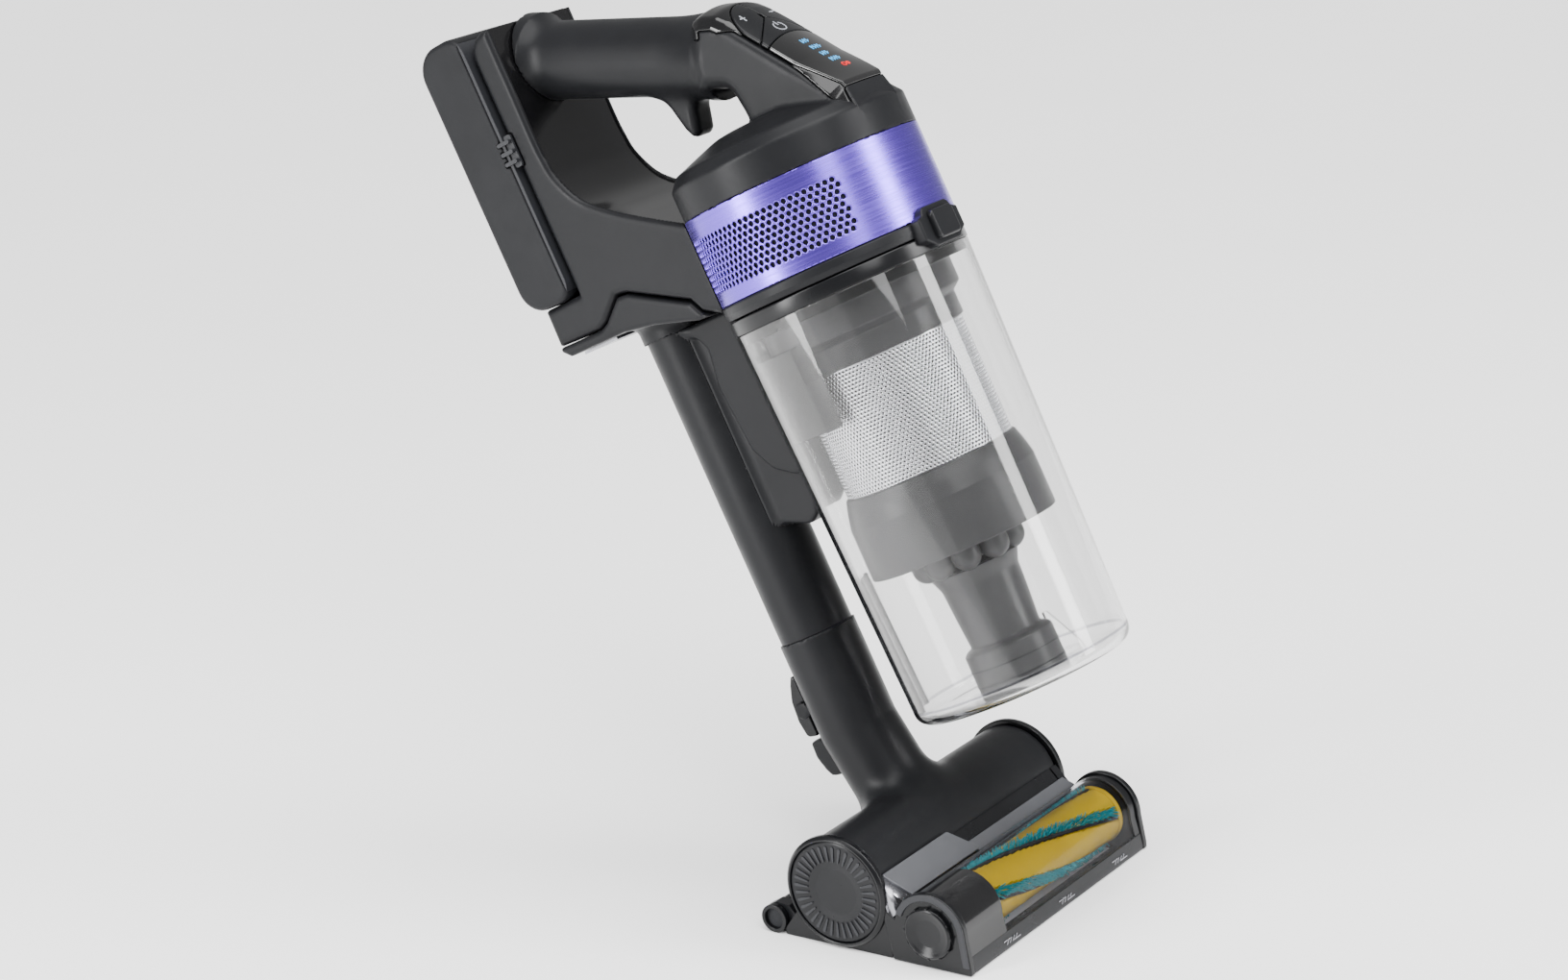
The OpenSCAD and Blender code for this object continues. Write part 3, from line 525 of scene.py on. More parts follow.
def lights():
    world = bpy.data.worlds.new("world")
    world.use_nodes = True
    back = world.node_tree.nodes["Background"].inputs
    back["Color"].default_value = (1, 1, 1, 1)
    back["Strength"].default_value = 0.5
    bpy.context.scene.world = world
    sun = bpy.data.lights.new("sky", "SUN")
    sun.energy, sun.angle = 5.4, math.radians(60)
    ob = new_object("sky", sun)
    ob.rotation_euler = (math.radians(12), math.radians(-10), 0)
    soft_box("left_strip", (-1.5, 0.75, 0.7), (0, 0.05, 0.25), 40, 0.4, 1.5)
    soft_box("right_strip", (0.55, -1.6, 0.75), (0, -0.05, 0.25), 36, 0.4, 1.5)
    soft_box("front_soft", (-1.0, -1.5, 1.6), (0, 0, 0.25), 16, 0.7, 0.9)


camera()
floor()
lights()

# ---- body shells
FRONT = path([(8.8, 430), (9.2, 402), (8.6, 390), (6.6, 379), (-1.2, 365), (-14, 354.5),
              (-29.6, 345), (-50, 334), (-62, 328)], 12)
HOUSING = [(24.9, 451), (23.2, 456.4), (18.7, 460.6), (14, 462), (8.6, 462), (8.8, 445)]
HOUSING += FRONT + [(-62, 279.6), (-55.9, 281.9), (-45, 287.4), (-40.8, 294.8), (-4.4, 312.2),
                    (2.4, 313), (15.8, 302.9), (21, 300.8), (50.9, 301.3), (50.4, 321.2),
                    (24.9, 321.2)]
LINER = path([(9.7, 430), (10.4, 402), (9.8, 390), (7.8, 378.4), (0, 364), (-13, 353.2),
              (-28.6, 343.6), (-52, 330)], 14)
IN_FRONT = [(11.6, 480), (11.6, 445)] + [(y + 2, z - 1.4) for y, z in LINER]
IN_FRONT += [(-90, 310), (-90, 480)]


def column(x, y, r):
    """Distance to an endless cylinder on the bin's axis."""
    return np.hypot(x, y + BIN_OFF) - r


def housing(x, y, z):
    """Both side shells, with the finger recess, the contacts' pocket and two tab wells."""
    d = extrude(poly(y, z, HOUSING), np.abs(x) - BODY_HALF, 3.6)
    cut = extrude(poly(y, z, IN_FRONT), np.abs(x) - LINER_HALF, 1.2)
    d = smax(d, -cut, 1.0)
    d = smax(d, -column(x, y, SHELL_BORE), 0.6)
    pocket = inter(np.abs(x) - 15, np.abs(z - 342) - 8, 19 - y)
    well = inter(33.2 - np.abs(x), np.abs(z - 401.2) - 9.0, 20.8 - y)
    return np.maximum(d, -np.minimum(pocket, well))


add("housing_shell", *mesh_sdf(housing, (-38, -66, 276), (38, 54, 468), 1.1), "charcoal",
    "handheld", replaces="housing_left housing_right")

LINER_RING = [(9.4, 461.2), (9.5, 445)] + LINER + [(-52, 324), (-18, 341), (4, 360), (13, 380),
                                                  (14.5, 400), (12.5, 461.2)]
add("recess_gloss", *prism(LINER_RING, -31.7, 31.7), "gloss", "handheld",
    replaces="recess_liner", sharp=50)

TRIM = [(50.7, 300.9), (20.8, 300.3), (15.4, 302.4), (2.2, 311.9), (-4.2, 311.1), (-40.4, 293.6),
        (-44.8, 286.4), (-56, 280.8), (-62, 278.2), (-62, 275.4), (-52, 283.2), (-40, 284),
        (-12, 291.4), (8, 294.4), (46.5, 294.7), (51.2, 298.7)]


def trim(x, y, z):
    """Cover below the housings, with a collar round the tube and a slot in its underside."""
    d = extrude(poly(y, z, TRIM), np.abs(x) - BODY_HALF, 2.2)
    d = smin(d, np.maximum(np.hypot(x, y) - 21.2, np.abs(z - 291) - 7), 5.0)
    d = smax(d, -column(x, y, SHELL_BORE), 0.5)
    slot_cut = np.maximum(np.hypot(np.maximum(np.abs(x) - 5, 0), y - 34) - 3.6, z - 299)
    d = smax(d, -slot_cut, 0.4)
    return smax(d, TUBE_R + 0.15 - np.hypot(x, y), 0.8)


add("lower_trim_shell", *mesh_sdf(trim, (-38, -66, 273), (38, 54, 316), 1.0), "charcoal",
    "handheld", replaces="lower_trim")

GC, GS = math.cos(math.radians(GRIP_TILT)), math.sin(math.radians(GRIP_TILT))
PC, PS = math.cos(math.radians(PANEL_TILT)), math.sin(math.radians(PANEL_TILT))
GUARD = [(-46, 406), (-51.4, 398), (-55.4, 391), (-58, 380.5), (-60, 373), (-62.4, 368.6),
         (-65, 367.4), (-67.6, 369.2), (-69.6, 375), (-72.2, 384), (-76.4, 394), (-80, 406)]
HEAD = fillet([(-84, 384), (-97.4, 419.6), (-106, 420.8), (-116, 417.4), (-122.4, 411.6),
               (-167, 358.8), (-170, 345.6), (-168, 330), (-104.4, 330), (-106, 354),
               (-105.2, 367), (-103.4, 378.4), (-95, 381.4)],
              [6, 10, 10, 12, 12, 2, 4, 2, 0, 6, 8, 5, 6])
DOME = fillet([(0, 300), (62.05, 300), (62.05, 345.6), (57.2, 351.6), (32, 360.4), (0, 362.4)],
              [0, 0, 2.4, 3, 30])
BEHIND = [(8.5, 500), (8.5, 445)] + LINER + [(-60, 280), (60, 280), (60, 500)]


def panel_xy(y, z):
    """Position along the sloping panel and height above it."""
    a, b = y - PANEL_Y, z - PANEL_Z
    return a * PC + b * PS, -a * PS + b * PC


def panel_top(x, y, z):
    """Distance above the crowned top of the head."""
    py, _ = panel_xy(y, z)
    return poly(y, z, HEAD) + CROWN * x * x * np.clip((py + 6) / 30, 0.12, 1)


def panel_area(x, py):
    """Negative inside the panel's outline: rounded at the top, narrower at the display's foot."""
    half = 15.6 + 3.4 * np.clip((py + 3) / 30, 0, 1) ** 0.8
    oval = (np.hypot(x / 19.0, np.maximum(py - 54, 0) / 22.0) - 1) * 14
    return inter(np.abs(x) - half, -2.6 - py, oval)


def prow_area(x, z):
    """Negative inside the prow's outline below the display: it widens, then meets the panel."""
    w = np.interp(z, [336.8, 343, 357.8, 360], [11.2, 17.6, 15.6, 15.6])
    return inter(np.abs(x) - w, 336.8 - z, z - 357.6)


def rear(y, z):
    """Rises from the head's rear and lower edges towards the panel, so they get no rim."""
    py, pz = panel_xy(y, z)
    return pz + 0.24 * np.clip(py - 62, 0, 30) ** 1.4


def chamfer(y, z):
    """Width of the chamfer along the panel: wider towards the prow."""
    py, _ = panel_xy(y, z)
    return 3.6 + 3.2 * np.clip((24 - py) / 27, 0, 1) ** 1.4


def head_solid(x, y, z):
    top = panel_top(x, y, z)
    side = np.abs(x) - HEAD_HALF
    d = smax(extrude(top, side, 0.6), (top + side + chamfer(y, z)) * 0.7071, 1.1)
    return np.maximum(d, column(x, y, BAND_R - 0.5))


def panel_recess(x, y, z):
    """Negative where the display, the prow and the buttons sit."""
    py, _ = panel_xy(y, z)
    top = panel_top(x, y, z)
    return np.minimum(np.maximum(panel_area(x, py) - 0.35, -2.9 - top),
                      inter(prow_area(x, z) - 0.35, -1.6 - top, y + 158))


def upper(x, y, z):
    """Grip, finger stop, head and dome in one blended shell."""
    gy, gz = y, z - GRIP_Z
    ly, lz = gy * GC + gz * GS, -gy * GS + gz * GC
    r = 19.9 + 4.5 * np.clip((4 - lz) / 14, 0, 1) ** 2.5 + 2.2 * np.clip((lz - 74) / 24, 0, 1) ** 2
    grip = np.maximum(np.hypot(x, ly) - r, lz - 104)
    guard = extrude(poly(y, z, GUARD), np.abs(x) - 8.4, 4.2)
    d = smin(grip, guard, 7.0)
    dome = poly(np.hypot(x, y + BIN_OFF), z, DOME)
    dome = np.maximum(dome, 329.6 - z)
    top = panel_top(x, y, z)
    head = smax(head_solid(x, y, z), np.minimum(top, rear(y, z)) + chamfer(y, z) + 1.75, 1.0)
    d = smin(d, smin(head, dome, 2.2), 2.5)
    return smax(d, -poly(y, z, BEHIND), 0.6)


add("grip_head_shell", *mesh_sdf(upper, (-63.5, -174, 328.5), (63.5, 14, 470), 1.15), "charcoal",
    "handheld", replaces="grip_left grip_right finger_stop head_shell motor_cover", sharp=28)


def rim(x, y, z):
    """The head's gloss top: chamfers and edge, open where the panel's plates sit."""
    top = panel_top(x, y, z)
    d = smax(head_solid(x, y, z), -np.minimum(top, rear(y, z)) - chamfer(y, z) - 1.3, 0.9)
    d = smax(d, -panel_recess(x, y, z), 0.7)
    return np.maximum(d, 336 - z)


add("panel_rim", *mesh_sdf(rim, (-24, -173, 334), (24, -80, 423), 0.46), "gloss", "handheld",
    replaces="head_trim", sharp=75)


# Sloping panel: display, prow and three buttons, each a crowned plate in the head's recess
def plate(region):
    """A plate on the crowned panel, over a region(x, along the panel, z)."""
    def f(x, y, z):
        py, pz = panel_xy(y, z)
        top = panel_top(x, y, z)
        d = extrude(region(x, py, z), np.abs(top + 0.55) - 0.85, 0.45)
        return inter(d, y + 84, -14 - pz)
    return f


def seam(x, py):
    """Y-shaped split: positive above the two slanting arms."""
    return (py - 60.0) + 0.72 * np.abs(x)


def arc_seam(x, py):
    """Curved split between the display and the power button: positive above it."""
    return py - (44.4 - 0.008 * x * x)


def r_display(x, py, z):
    return np.maximum(panel_area(x, py), arc_seam(x, py) + 0.3)


def r_power(x, py, z):
    return inter(panel_area(x, py), 0.3 - arc_seam(x, py), (seam(x, py) + 0.3) * 0.8)


def r_side(sign):
    def f(x, py, z):
        d = inter(panel_area(x, py), (0.3 - seam(x, py)) * 0.8, 0.3 - sign * x)
        return np.maximum(d, -(np.hypot(x, np.maximum(np.abs(py - 60) - 2.6, 0)) - 1.2))
    return f


def r_prow(x, py, z):
    return np.maximum(prow_area(x, z), py + 3.0)


PLATES = [  # name, region, low corner, high corner, material, body, CAD nodes shown, slot
    ("display_plate", r_display, (-20.4, -173, 334), (20.4, -130, 400), "lens", "handheld",
     "display_lens", None),
    ("prow_plate", r_prow, (-20.4, -173, 334), (20.4, -158, 362), "satin", "handheld", "",
     "charcoal_shell"),
    ("power_plate", r_power, (-20.4, -146, 378), (20.4, -118, 410), "satin", "power",
     "power_button", None),
    ("plus_plate", r_side(-1), (-20.4, -146, 384), (0.6, -84, 423), "satin", "plus",
     "plus_button", None),
    ("minus_plate", r_side(1), (-0.6, -146, 384), (20.4, -84, 423), "satin", "minus",
     "minus_button", None)]
for name, region, low, high, mat, body, nodes, slot in PLATES:
    add(name, *mesh_sdf(plate(region), low, high, 0.45), mat, body, replaces=nodes, slot=slot,
        sharp=70)


def stroke(x0, y0, x1, y1, w=0.55):
    """A thin bar on the panel from one point to another."""
    a = math.atan2(y1 - y0, x1 - x0)
    n = math.hypot(x1 - x0, y1 - y0) / 2 + w / 2
    cx, cy = (x0 + x1) / 2, (y0 + y1) / 2
    drop = CROWN * cx * cx * min(1, max(0.12, (cy + 6) / 30))
    part = bar(-n, n, -w / 2, w / 2, -0.16, 0.16)
    return moved(part, T(cx, cy, 0.58 - drop) @ Matrix.Rotation(a, 4, "Z"))


def ring_strokes(cx, cy, r, a0, a1, n, **k):
    """A ring, or part of one, as n strokes."""
    p = arc(cx, cy, r, a0, a1, n)
    return [stroke(*p[i], *p[i + 1], **k) for i in range(n)]


add("plus_mark", *join(stroke(-13.4, 64.5, -9.2, 64.5), stroke(-11.3, 62.4, -11.3, 66.6)),
    "mark", "plus", PANEL)
add("minus_mark", *stroke(8.4, 63.2, 12.6, 63.2), "mark", "minus", PANEL)
add("power_mark", *join(*ring_strokes(0, 50.2, 3.4, 125, 415, 16, w=0.5),
                        stroke(0, 51.4, 0, 54.4, w=0.5)), "mark", "power", PANEL)
blue = []
for k, y in enumerate((34.6, 28.4, 22.2, 16.4)):
    for j in range(3 + k % 2):
        x = -2.6 + j * 1.9
        blue += [stroke(x, y - 1.3, x, y + 1.3, w=0.42),
                 stroke(x, y + (1.3 if (j + k) % 2 else -1.3), x + 1.1, y, w=0.42)]
add("display_icons", *join(*blue), "blue_led", "handheld", PANEL)
add("display_alert", *join(*ring_strokes(0.4, 10.4, 1.3, 0, 360, 10, w=0.5),
                           *ring_strokes(3.6, 10.4, 0.9, 0, 360, 8, w=0.7)),
    "red_led", "handheld", PANEL)


# ---- exhaust band
def perforated(r, z0, z1, columns, row, hole, sides, inside, a_off=0.0):
    """A cylinder skin tiled with hexagonal cells; cells that inside(angle, z) picks get a hole."""
    pitch = 2 * math.pi / columns
    s = row / 1.5
    n_rows = int(math.ceil((z1 - z0) / row)) + 1
    mid = (z0 + z1) / 2
    verts, faces, key = [], [], {}

    def vert(a, z):
        z = min(max(z, z0), z1)
        k = (round((a % (2 * math.pi)) / pitch * 12) % (columns * 12), round(z, 3))
        if k not in key:
            key[k] = len(verts)
            verts.append((r * math.sin(a), -r * math.cos(a), z))
        return key[k]

    start = mid - (n_rows - 1) / 2 * row
    for j in range(n_rows):
        cz = start + j * row
        for i in range(columns):
            a = a_off + (i + 0.5 * (j % 2)) * pitch
            ring = []
            for c in range(6):
                t = math.radians(30 + 60 * c)
                u = math.radians(30 + 60 * (c + 1))
                p = (math.cos(t) / math.cos(math.radians(30)) * pitch / 2, s * math.sin(t))
                q = (math.cos(u) / math.cos(math.radians(30)) * pitch / 2, s * math.sin(u))
                ring.append(vert(a + p[0], cz + p[1]))
                if sides == 12:
                    ring.append(vert(a + (p[0] + q[0]) / 2, cz + (p[1] + q[1]) / 2))
            if z0 + hole < cz < z1 - hole and inside(math.degrees(a) % 360, cz):
                base = len(verts)
                for c in range(sides):
                    t = math.radians(30 + 360 / sides * c)
                    b = a + hole * math.cos(t) / r
                    verts.append((r * math.sin(b), -r * math.cos(b), cz + hole * math.sin(t)))
                for c in range(sides):
                    d = (c + 1) % sides
                    faces.append([ring[c], ring[d], base + d, base + c])
            else:
                face = [v for k, v in enumerate(ring) if v != ring[k - 1]]
                if len(set(face)) >= 3 and abs(cz - mid) < (z1 - z0) / 2 + s:
                    faces.append(face)
    return verts, faces


def skin(name, part, thick, *a, **k):
    """Adds an open sheet and gives it its thickness in millimetres."""
    ob = add(name, *part, *a, **k)
    so = ob.modifiers.new("skin", "SOLIDIFY")
    so.thickness, so.offset = thick * 0.001, -1
    return ob


def vents(a, z):
    """Where the band is perforated: both sides, away from the front and the housings."""
    side = a if a <= 180 else 360 - a
    return 39.0 < side < 150 and 290 < z < 319


part = perforated(BAND_R, 284.25, 329.35, 108, 3.144, 1.4, 12, vents)
uv = [(math.atan2(x, -y) * BAND_R * 0.001, z * 0.001) for x, y, z in part[0]]
skin("band_skin", part, 1.1, "violet", "handheld", BIN, replaces="exhaust_band", uv=uv, sharp=60)
# A dark sheet just inside the band: painted shade seen through its holes.
add("band_painted_shade", *lathe([(60.6, 285), (60.6, 328.6), (60.0, 328.6), (60.0, 285)], 96), "felt",
    "handheld", BIN)

# ---- ring, collar, release button
add("flange_ring", *lathe(fillet([(50, 281.6), (50, 277), (60.4, 276.4), (61.8, 276.4),
                                  (62.6, 279.4), (62.6, 283.2), (61.4, 284.15), (56, 284.15)],
                                 [0, 0, 0, 1, 1, 0.8, 0.5]), 160), "charcoal", "handheld", BIN,
    replaces="body_ring")
RELEASE = TUBE @ T(0, -172, 278.6) @ RX(90)
bez = fillet([(-17, -5.4), (-13, -7.4), (-10.4, -9.8), (10.4, -9.8), (13, -7.4), (17, -5.4),
              (17, 5.2), (13, 6.4), (10.8, 10.2), (-10.8, 10.2), (-13, 6.4), (-17, 5.2)],
             [1, 3, 3, 3, 3, 1, 1, 3, 3.4, 3.4, 3, 1])
add("release_bezel", *slab(bez, -3.5, 3.4), "charcoal", "handheld", RELEASE, bevel=1.2)
sq = fillet([(-9.2, -7.2), (9.2, -7.2), (9.2, 7.5), (-9.2, 7.5)], 2.6)
add("release_button", *slab(sq, 2.5, 6.6), "satin", "bin_release", RELEASE,
    replaces="bin_button", bevel=1.3)

# ---- tube and fairing
WIDE = fillet([(-4, 283.8), (-50, 283.8), (-50, 192.6), (-41, 194.6), (-30, 201), (-22, 214),
               (-18.6, 250), (-22.7, 270), (-18.6, 276), (-12, 281)],
              [0, 0, 2, 8, 8, 8, 20, 6, 4, 2])
NARROW = fillet([(-12, 283.8), (-50, 283.8), (-50, 214), (-46, 184), (-42.5, 172.6), (-36, 168),
                 (-12, 176)], [0, 0, 20, 14, 5, 6])


def fairing(x, y, z):
    """Fairing between tube and bin: a wide upper layer and a narrow one that runs lower."""
    d = np.minimum(extrude(poly(y, z, WIDE), np.abs(x) - 16, 2.4),
                   extrude(poly(y, z, NARROW), np.abs(x) - 12.6, 2.2))
    d = smin(d, np.hypot(x, y) - TUBE_R, 5.0)
    d = smax(d, TUBE_R + 0.18 - np.hypot(x, y), 0.3)
    d = np.maximum(d, np.maximum(z - 283.8, y + 2))
    return smax(d, -column(x, y, FAIRING_BORE), 0.8)


add("fairing", *mesh_sdf(fairing, (-20, -53, 162), (20, 0, 286), 0.85), "charcoal", "handheld",
    replaces="tube_fairing", slot="grey_plastic")

# ---- battery
RIB_Z = (396.0, 401.2, 406.4)        # ribs of the two grip tabs
CASE = fillet([(26.2, 466.8), (59.6, 466.8), (59.6, 321.4), (26.2, 321.4)], [11, 15, 14, 10], 9)


def battery(x, y, z):
    """Battery case with a slot for each rib of the grip tabs."""
    d = extrude(poly(y, z, CASE), np.abs(x) - BATTERY_HALF, 3.0)
    for h in RIB_Z:
        d = np.maximum(d, -inter(33.9 - np.abs(x), np.abs(z - h) - 1.5, y - 30.8))
    return np.maximum(d, 28.5 - y)


add("battery_shell", *mesh_sdf(battery, (-40, 26, 319), (40, 62, 469), 1.1), "battery", "battery",
    replaces="battery_case", sharp=40)
# Battery rim: part of the charcoal case, drawn in the lighter bracket grey as a painted highlight
# line along its front edge.
UP = [(28.3, 462.3), (27.2, 460.2), (26.5, 458), (26.2, 455.8)]
DOWN = [(26.2, 331.3), (26.5, 329.2), (27.2, 327.2), (28.3, 325.2)]
add("battery_rim", *join(prism(UP + DOWN, -37.6, -15.4), prism(UP + DOWN, 15.4, 37.6),
                         prism(UP + [(26.2, 350.4), (28.3, 350.4)], -15.4, 15.4),
                         prism([(28.3, 333.6), (26.2, 333.6)] + DOWN, -15.4, 15.4)),
    "bracket", "battery", replaces="battery_plate", slot="charcoal_shell", bevel=0.4)
# Grip tabs: gloss black parts drawn in the lighter bracket grey, so their ribs show as painted
# highlights.
for side, body in ((-1, "battery_grip_l"), (1, "battery_grip_r")):
    tab = fillet([(21.2, 392.6), (26, 392.6), (26, 409.8), (21.2, 409.8)], 1.4)
    parts = [prism(tab, side * 35.2, side * 36.6)]
    for z in RIB_Z:
        rib = fillet([(21.6, z - 1), (30.2, z - 1), (30.2, z + 1), (21.6, z + 1)], 0.95)
        parts.append(prism(rib, side * 36.4, side * 38.9))
    add("grip_tab_" + body[-1], *join(*parts), "bracket", body,
        replaces="battery_button_" + body[-1], slot="gloss_black")

# ---- dust bin and cyclone
CUP = fillet([(0, 56), (57.3, 56), (62, 268), (60, 268), (55.4, 58.2), (0, 58.2)],
             [0, 7, 0.4, 0.4, 5.5], 8)
cup = lathe(CUP, 192)
fin = prism([(25, 57), (40.5, 57), (39, 62), (27.4, 82), (25, 82)], -0.8, 0.8)
for turn in (90, 160):
    fin = moved(fin, Matrix.Rotation(math.radians(turn), 4, "Z"))
add("bin_clear", *join(cup, fin), "clear", "bin", BIN, replaces="bin_cup")
add("bin_foot_line", *lathe([(55.9, 63.4), (57.5, 63.4), (57.54, 64.6), (55.96, 64.6)], 160),
    "smoke", "bin", BIN, slot="clear_plastic")
add("collar", *lathe(fillet([(52, 275.8), (62.2, 275.8), (62.2, 268.2), (60, 268.2), (59.7, 262.4),
                             (57, 262.4), (57, 270), (52, 270)],
                            [0, 0.8, 0.5, 0, 0.5, 0.5]), 160), "rim", "bin", BIN,
    replaces="bin_collar", slot="charcoal_shell")
add("cap", *lathe(fillet([(41, 233.1), (45.4, 233.1), (45.4, 245), (50, 248.6), (50, 261.5),
                          (51.7, 264.5), (51.7, 275.8), (49.7, 275.8), (49.7, 265.2),
                          (47.6, 261.5), (18, 261.5), (18, 259), (41, 259)],
                         [0, 0.8, 2, 2, 1.5, 1.5]), 128), "grey", "bin", BIN,
    replaces="cyclone_cap")
add("skirt", *lathe(fillet([(41, 172), (45.4, 172), (47.4, 165.5), (49.1, 158), (49.1, 131),
                            (47.2, 131), (47.2, 146), (33.4, 146), (33.4, 149), (46.6, 149),
                            (46.6, 157), (45, 164), (41, 169.5)],
                           [0, 0.8, 3, 3, 0.8, 0.6]), 128), "grey", "bin", BIN,
    replaces="skirt_ring")
skin("mesh_skin", perforated(44.0, 172.1, 233.1, 132, 1.815, 0.62, 6, lambda a, z: True), 0.6,
     "mesh", "bin", BIN, replaces="mesh_screen", sharp=60)
# A dark sheet inside the mesh screen: painted shade seen through its holes.
add("mesh_painted_shade", *lathe([(42.6, 173), (42.6, 232.4), (42.2, 232.4), (42.2, 173)], 96), "felt",
    "bin", BIN)
parts = [lathe([(0, 134), (33.2, 134), (33.2, 148.6), (0, 148.6)], 96)]
for k in range(9):
    a = math.radians(k * 40 + 12)
    ball = arc(0, 0, 7.6, -90, 0, 8)
    prof = [(0, 118.6)] + [(r, 126.2 + z) for r, z in ball[1:]] + [(7.6, 140), (0, 140)]
    parts.append(moved(lathe(prof, 32), T(22.4 * math.cos(a), 22.4 * math.sin(a), 0)))
add("lobes", *join(*parts), "grey", "bin", BIN, replaces="cyclone_lobes")
TUBE_PROFILE = fillet([(17, 58.1), (23.2, 58.1), (23.2, 78.4), (21.4, 80), (18.4, 81.4), (19.6, 98),
                       (20.4, 112), (23.4, 119.6), (17, 119.6)],
                      [0, 0.5, 1.2, 1.2, 1.2, 14, 8, 0.5], 6)
add("collector", *lathe(TUBE_PROFILE, 96), "grey", "bin", BIN, replaces="collector_tube")
add("collector_seams", *join(*[lathe([(r - 0.3, z), (r + 0.22, z + 0.2), (r + 0.22, z + 0.9),
                                      (r - 0.3, z + 1.1)], 96)
                               for r, z in ((23.2, 70), (23.2, 62))]), "bracket", "bin", BIN)
DUCT = [(46.6, 209), (58.0, 209), (58.6, 252), (50.6, 252), (50.6, 246), (46.6, 246)]
add("duct", *join(lathe(DUCT, 48, a0=96, a1=176), lathe([(52.6, 64), (54.2, 64), (56.6, 134),
                                                        (55.0, 134)], 24, a0=108, a1=140)),
    "gloss", "bin", BIN, replaces="inlet_duct", bevel=0.6)

# ---- neck and latch
HOOK = fillet([(10, 64), (29.2, 62.9), (29.6, 54), (27, 46.5), (24.6, 42.6), (18.7, 42), (8, 46)],
              [0, 2, 5, 4, 2, 3])


BEND_Z, BEND_BACK, BEND_DOWN = 62.0, 9.2, 52.0    # the neck's bend, and its run down to the barrel


def neck(x, y, z):
    """Neck pipe, its bend and the swivel barrel, with the latch's hook and ears."""
    barrel = extrude(np.hypot(y + TUBE_BACK, z) - 27.0, np.abs(x) - 82.4, 1.0)
    t = (y * -BEND_BACK + (z - BEND_Z) * -BEND_DOWN) / (BEND_BACK ** 2 + BEND_DOWN ** 2)
    t = np.clip(t, 0, 1)
    leg = np.sqrt(x * x + (y + BEND_BACK * t) ** 2 + (z - BEND_Z + BEND_DOWN * t) ** 2) - NECK_R
    pipe = np.maximum(np.hypot(x, y) - NECK_R, np.maximum(BEND_Z - z, z - 115.4))
    d = smin(np.minimum(leg, pipe), barrel, 13.0)
    hook = extrude(poly(y, z, HOOK), np.abs(x) - 7.2, 1.6)
    d = smin(d, hook, 1.5)
    ear = extrude(np.hypot(y - 23.5, z - 80) - 4.6, np.abs(np.abs(x) - 8.6) - 1.0, 0.4)
    d = smin(d, ear, 1.5)
    return smax(d, -np.maximum(np.hypot(x, y) - 17.0, BEND_Z - z), 0.5)


add("neck_shell", *mesh_sdf(neck, (-84, -44, -29), (84, 30, 118), 1.3), "charcoal", "neck",
    replaces="neck_body", sharp=40)
LEVER = fillet([(22.8, 65), (29.4, 65.7), (30.9, 75), (29.8, 86), (26.4, 94), (23.4, 99), (21.3, 97),
                (21.2, 84), (22.4, 80), (22.4, 68)], [1, 3, 8, 8, 6, 1.5, 1, 1, 1, 1])
add("lever", *prism(LEVER, -7, 7), "rim", "latch", replaces="latch_lever", bevel=1.2)

# ---- brush tool
TOP = T(0, -36.9, 27.8) @ RX(46.6)
plate_out = fillet([(-74.5, 2.2), (-10.5, 2.2), (-24.6, 18.4), (-83.4, 18.4)], [1, 1, 2, 1])
add("plate_top", *slab(plate_out, 1.0, 2.9), "plate", "tool", TOP, replaces="top_plate",
    bevel=0.45)
wedge = [tuple(TOP @ Vector((-83.6, 18.6, 1.6))), tuple(TOP @ Vector((-74.3, 2.1, 1.6))),
         (-86.1, -35.2, 25.4), (-86.1, -31.4, 21.6), (-86.1, -28.2, 30)]
skin("plate_side", (wedge, [[1, 0, 2], [0, 3, 2], [0, 4, 3]]), 1.2, "silver", "tool", ROW, sharp=8)
bar_out = fillet([(-12.4, 1.2), (82.4, 1.2), (77.6, 8.2), (-17.4, 8.2)], 0.6)
add("trim_strip", *slab(bar_out, 0.1, 2.2), "plate", "tool", TOP, replaces="trim_bar", bevel=0.4)

LID = arc(BRUSH_Y, BRUSH_Z, 19, 38, 180, 26) + [(-75.2, 9), (-73.4, 9)]
LID += arc(BRUSH_Y, BRUSH_Z, 17.2, 38, 180, 26)[::-1]
add("lid_window", *prism(LID, -49.8, 76.8), "smoke", "tool", ROW,
    replaces="brush_window", sharp=30)
SILL = [(-75.25, 9.2), (-76.6, 2.6), (-76.4, 0.6), (-73.2, 0.6), (-73.4, 9.2)]
add("lid_sill", *prism(SILL, -82.6, 82.6), "satin", "tool", ROW, bevel=0.3)
# Dark bars at the sole, before and behind the brush: part of the tool's underside, and also painted
# shade over the bright floor seen through the window.
add("sole_bars_and_shade", *join(bar(-82.4, 82.4, -73.3, -61, 0.7, 1.7),
                       bar(-82.4, 82.4, -47, -37.4, 0.7, 1.7)), "satin", "tool", ROW)
combs = []
for cx in (-47.5, 5.2, 58.6):
    combs.append(bar(cx - 7.5, cx - 1.5, -76.35, -75.7, 5.1, 5.7))
    combs.append(bar(cx + 1, cx + 7.5, -76.6, -75.9, 3.1, 3.7))
    for k in range(4):
        m = T(cx - 4.2 + k * 2.6, -76.25, 4.4) @ Matrix.Rotation(math.radians(32), 4, "Y")
        combs.append(moved(bar(-0.3, 0.3, -0.3, 0.35, -1.5, 1.5), m))
add("lid_combs", *join(*combs), "silver", "tool", ROW)
add("lid_black", *prism(LID, -82.7, -50.0), "gloss", "tool", ROW, sharp=30)
RIMCUT = arc(0, PIVOT_Z, 28.9, 222, 188, 10)
END_COVER = arc(BRUSH_Y, BRUSH_Z, 20.3, 10, 180, 30) + [(-76.8, 4), (-76.9, 0.4), (-32, 0.4)]
END_COVER += [(y, z) for y, z in RIMCUT if y < -27.2 and z > 8]
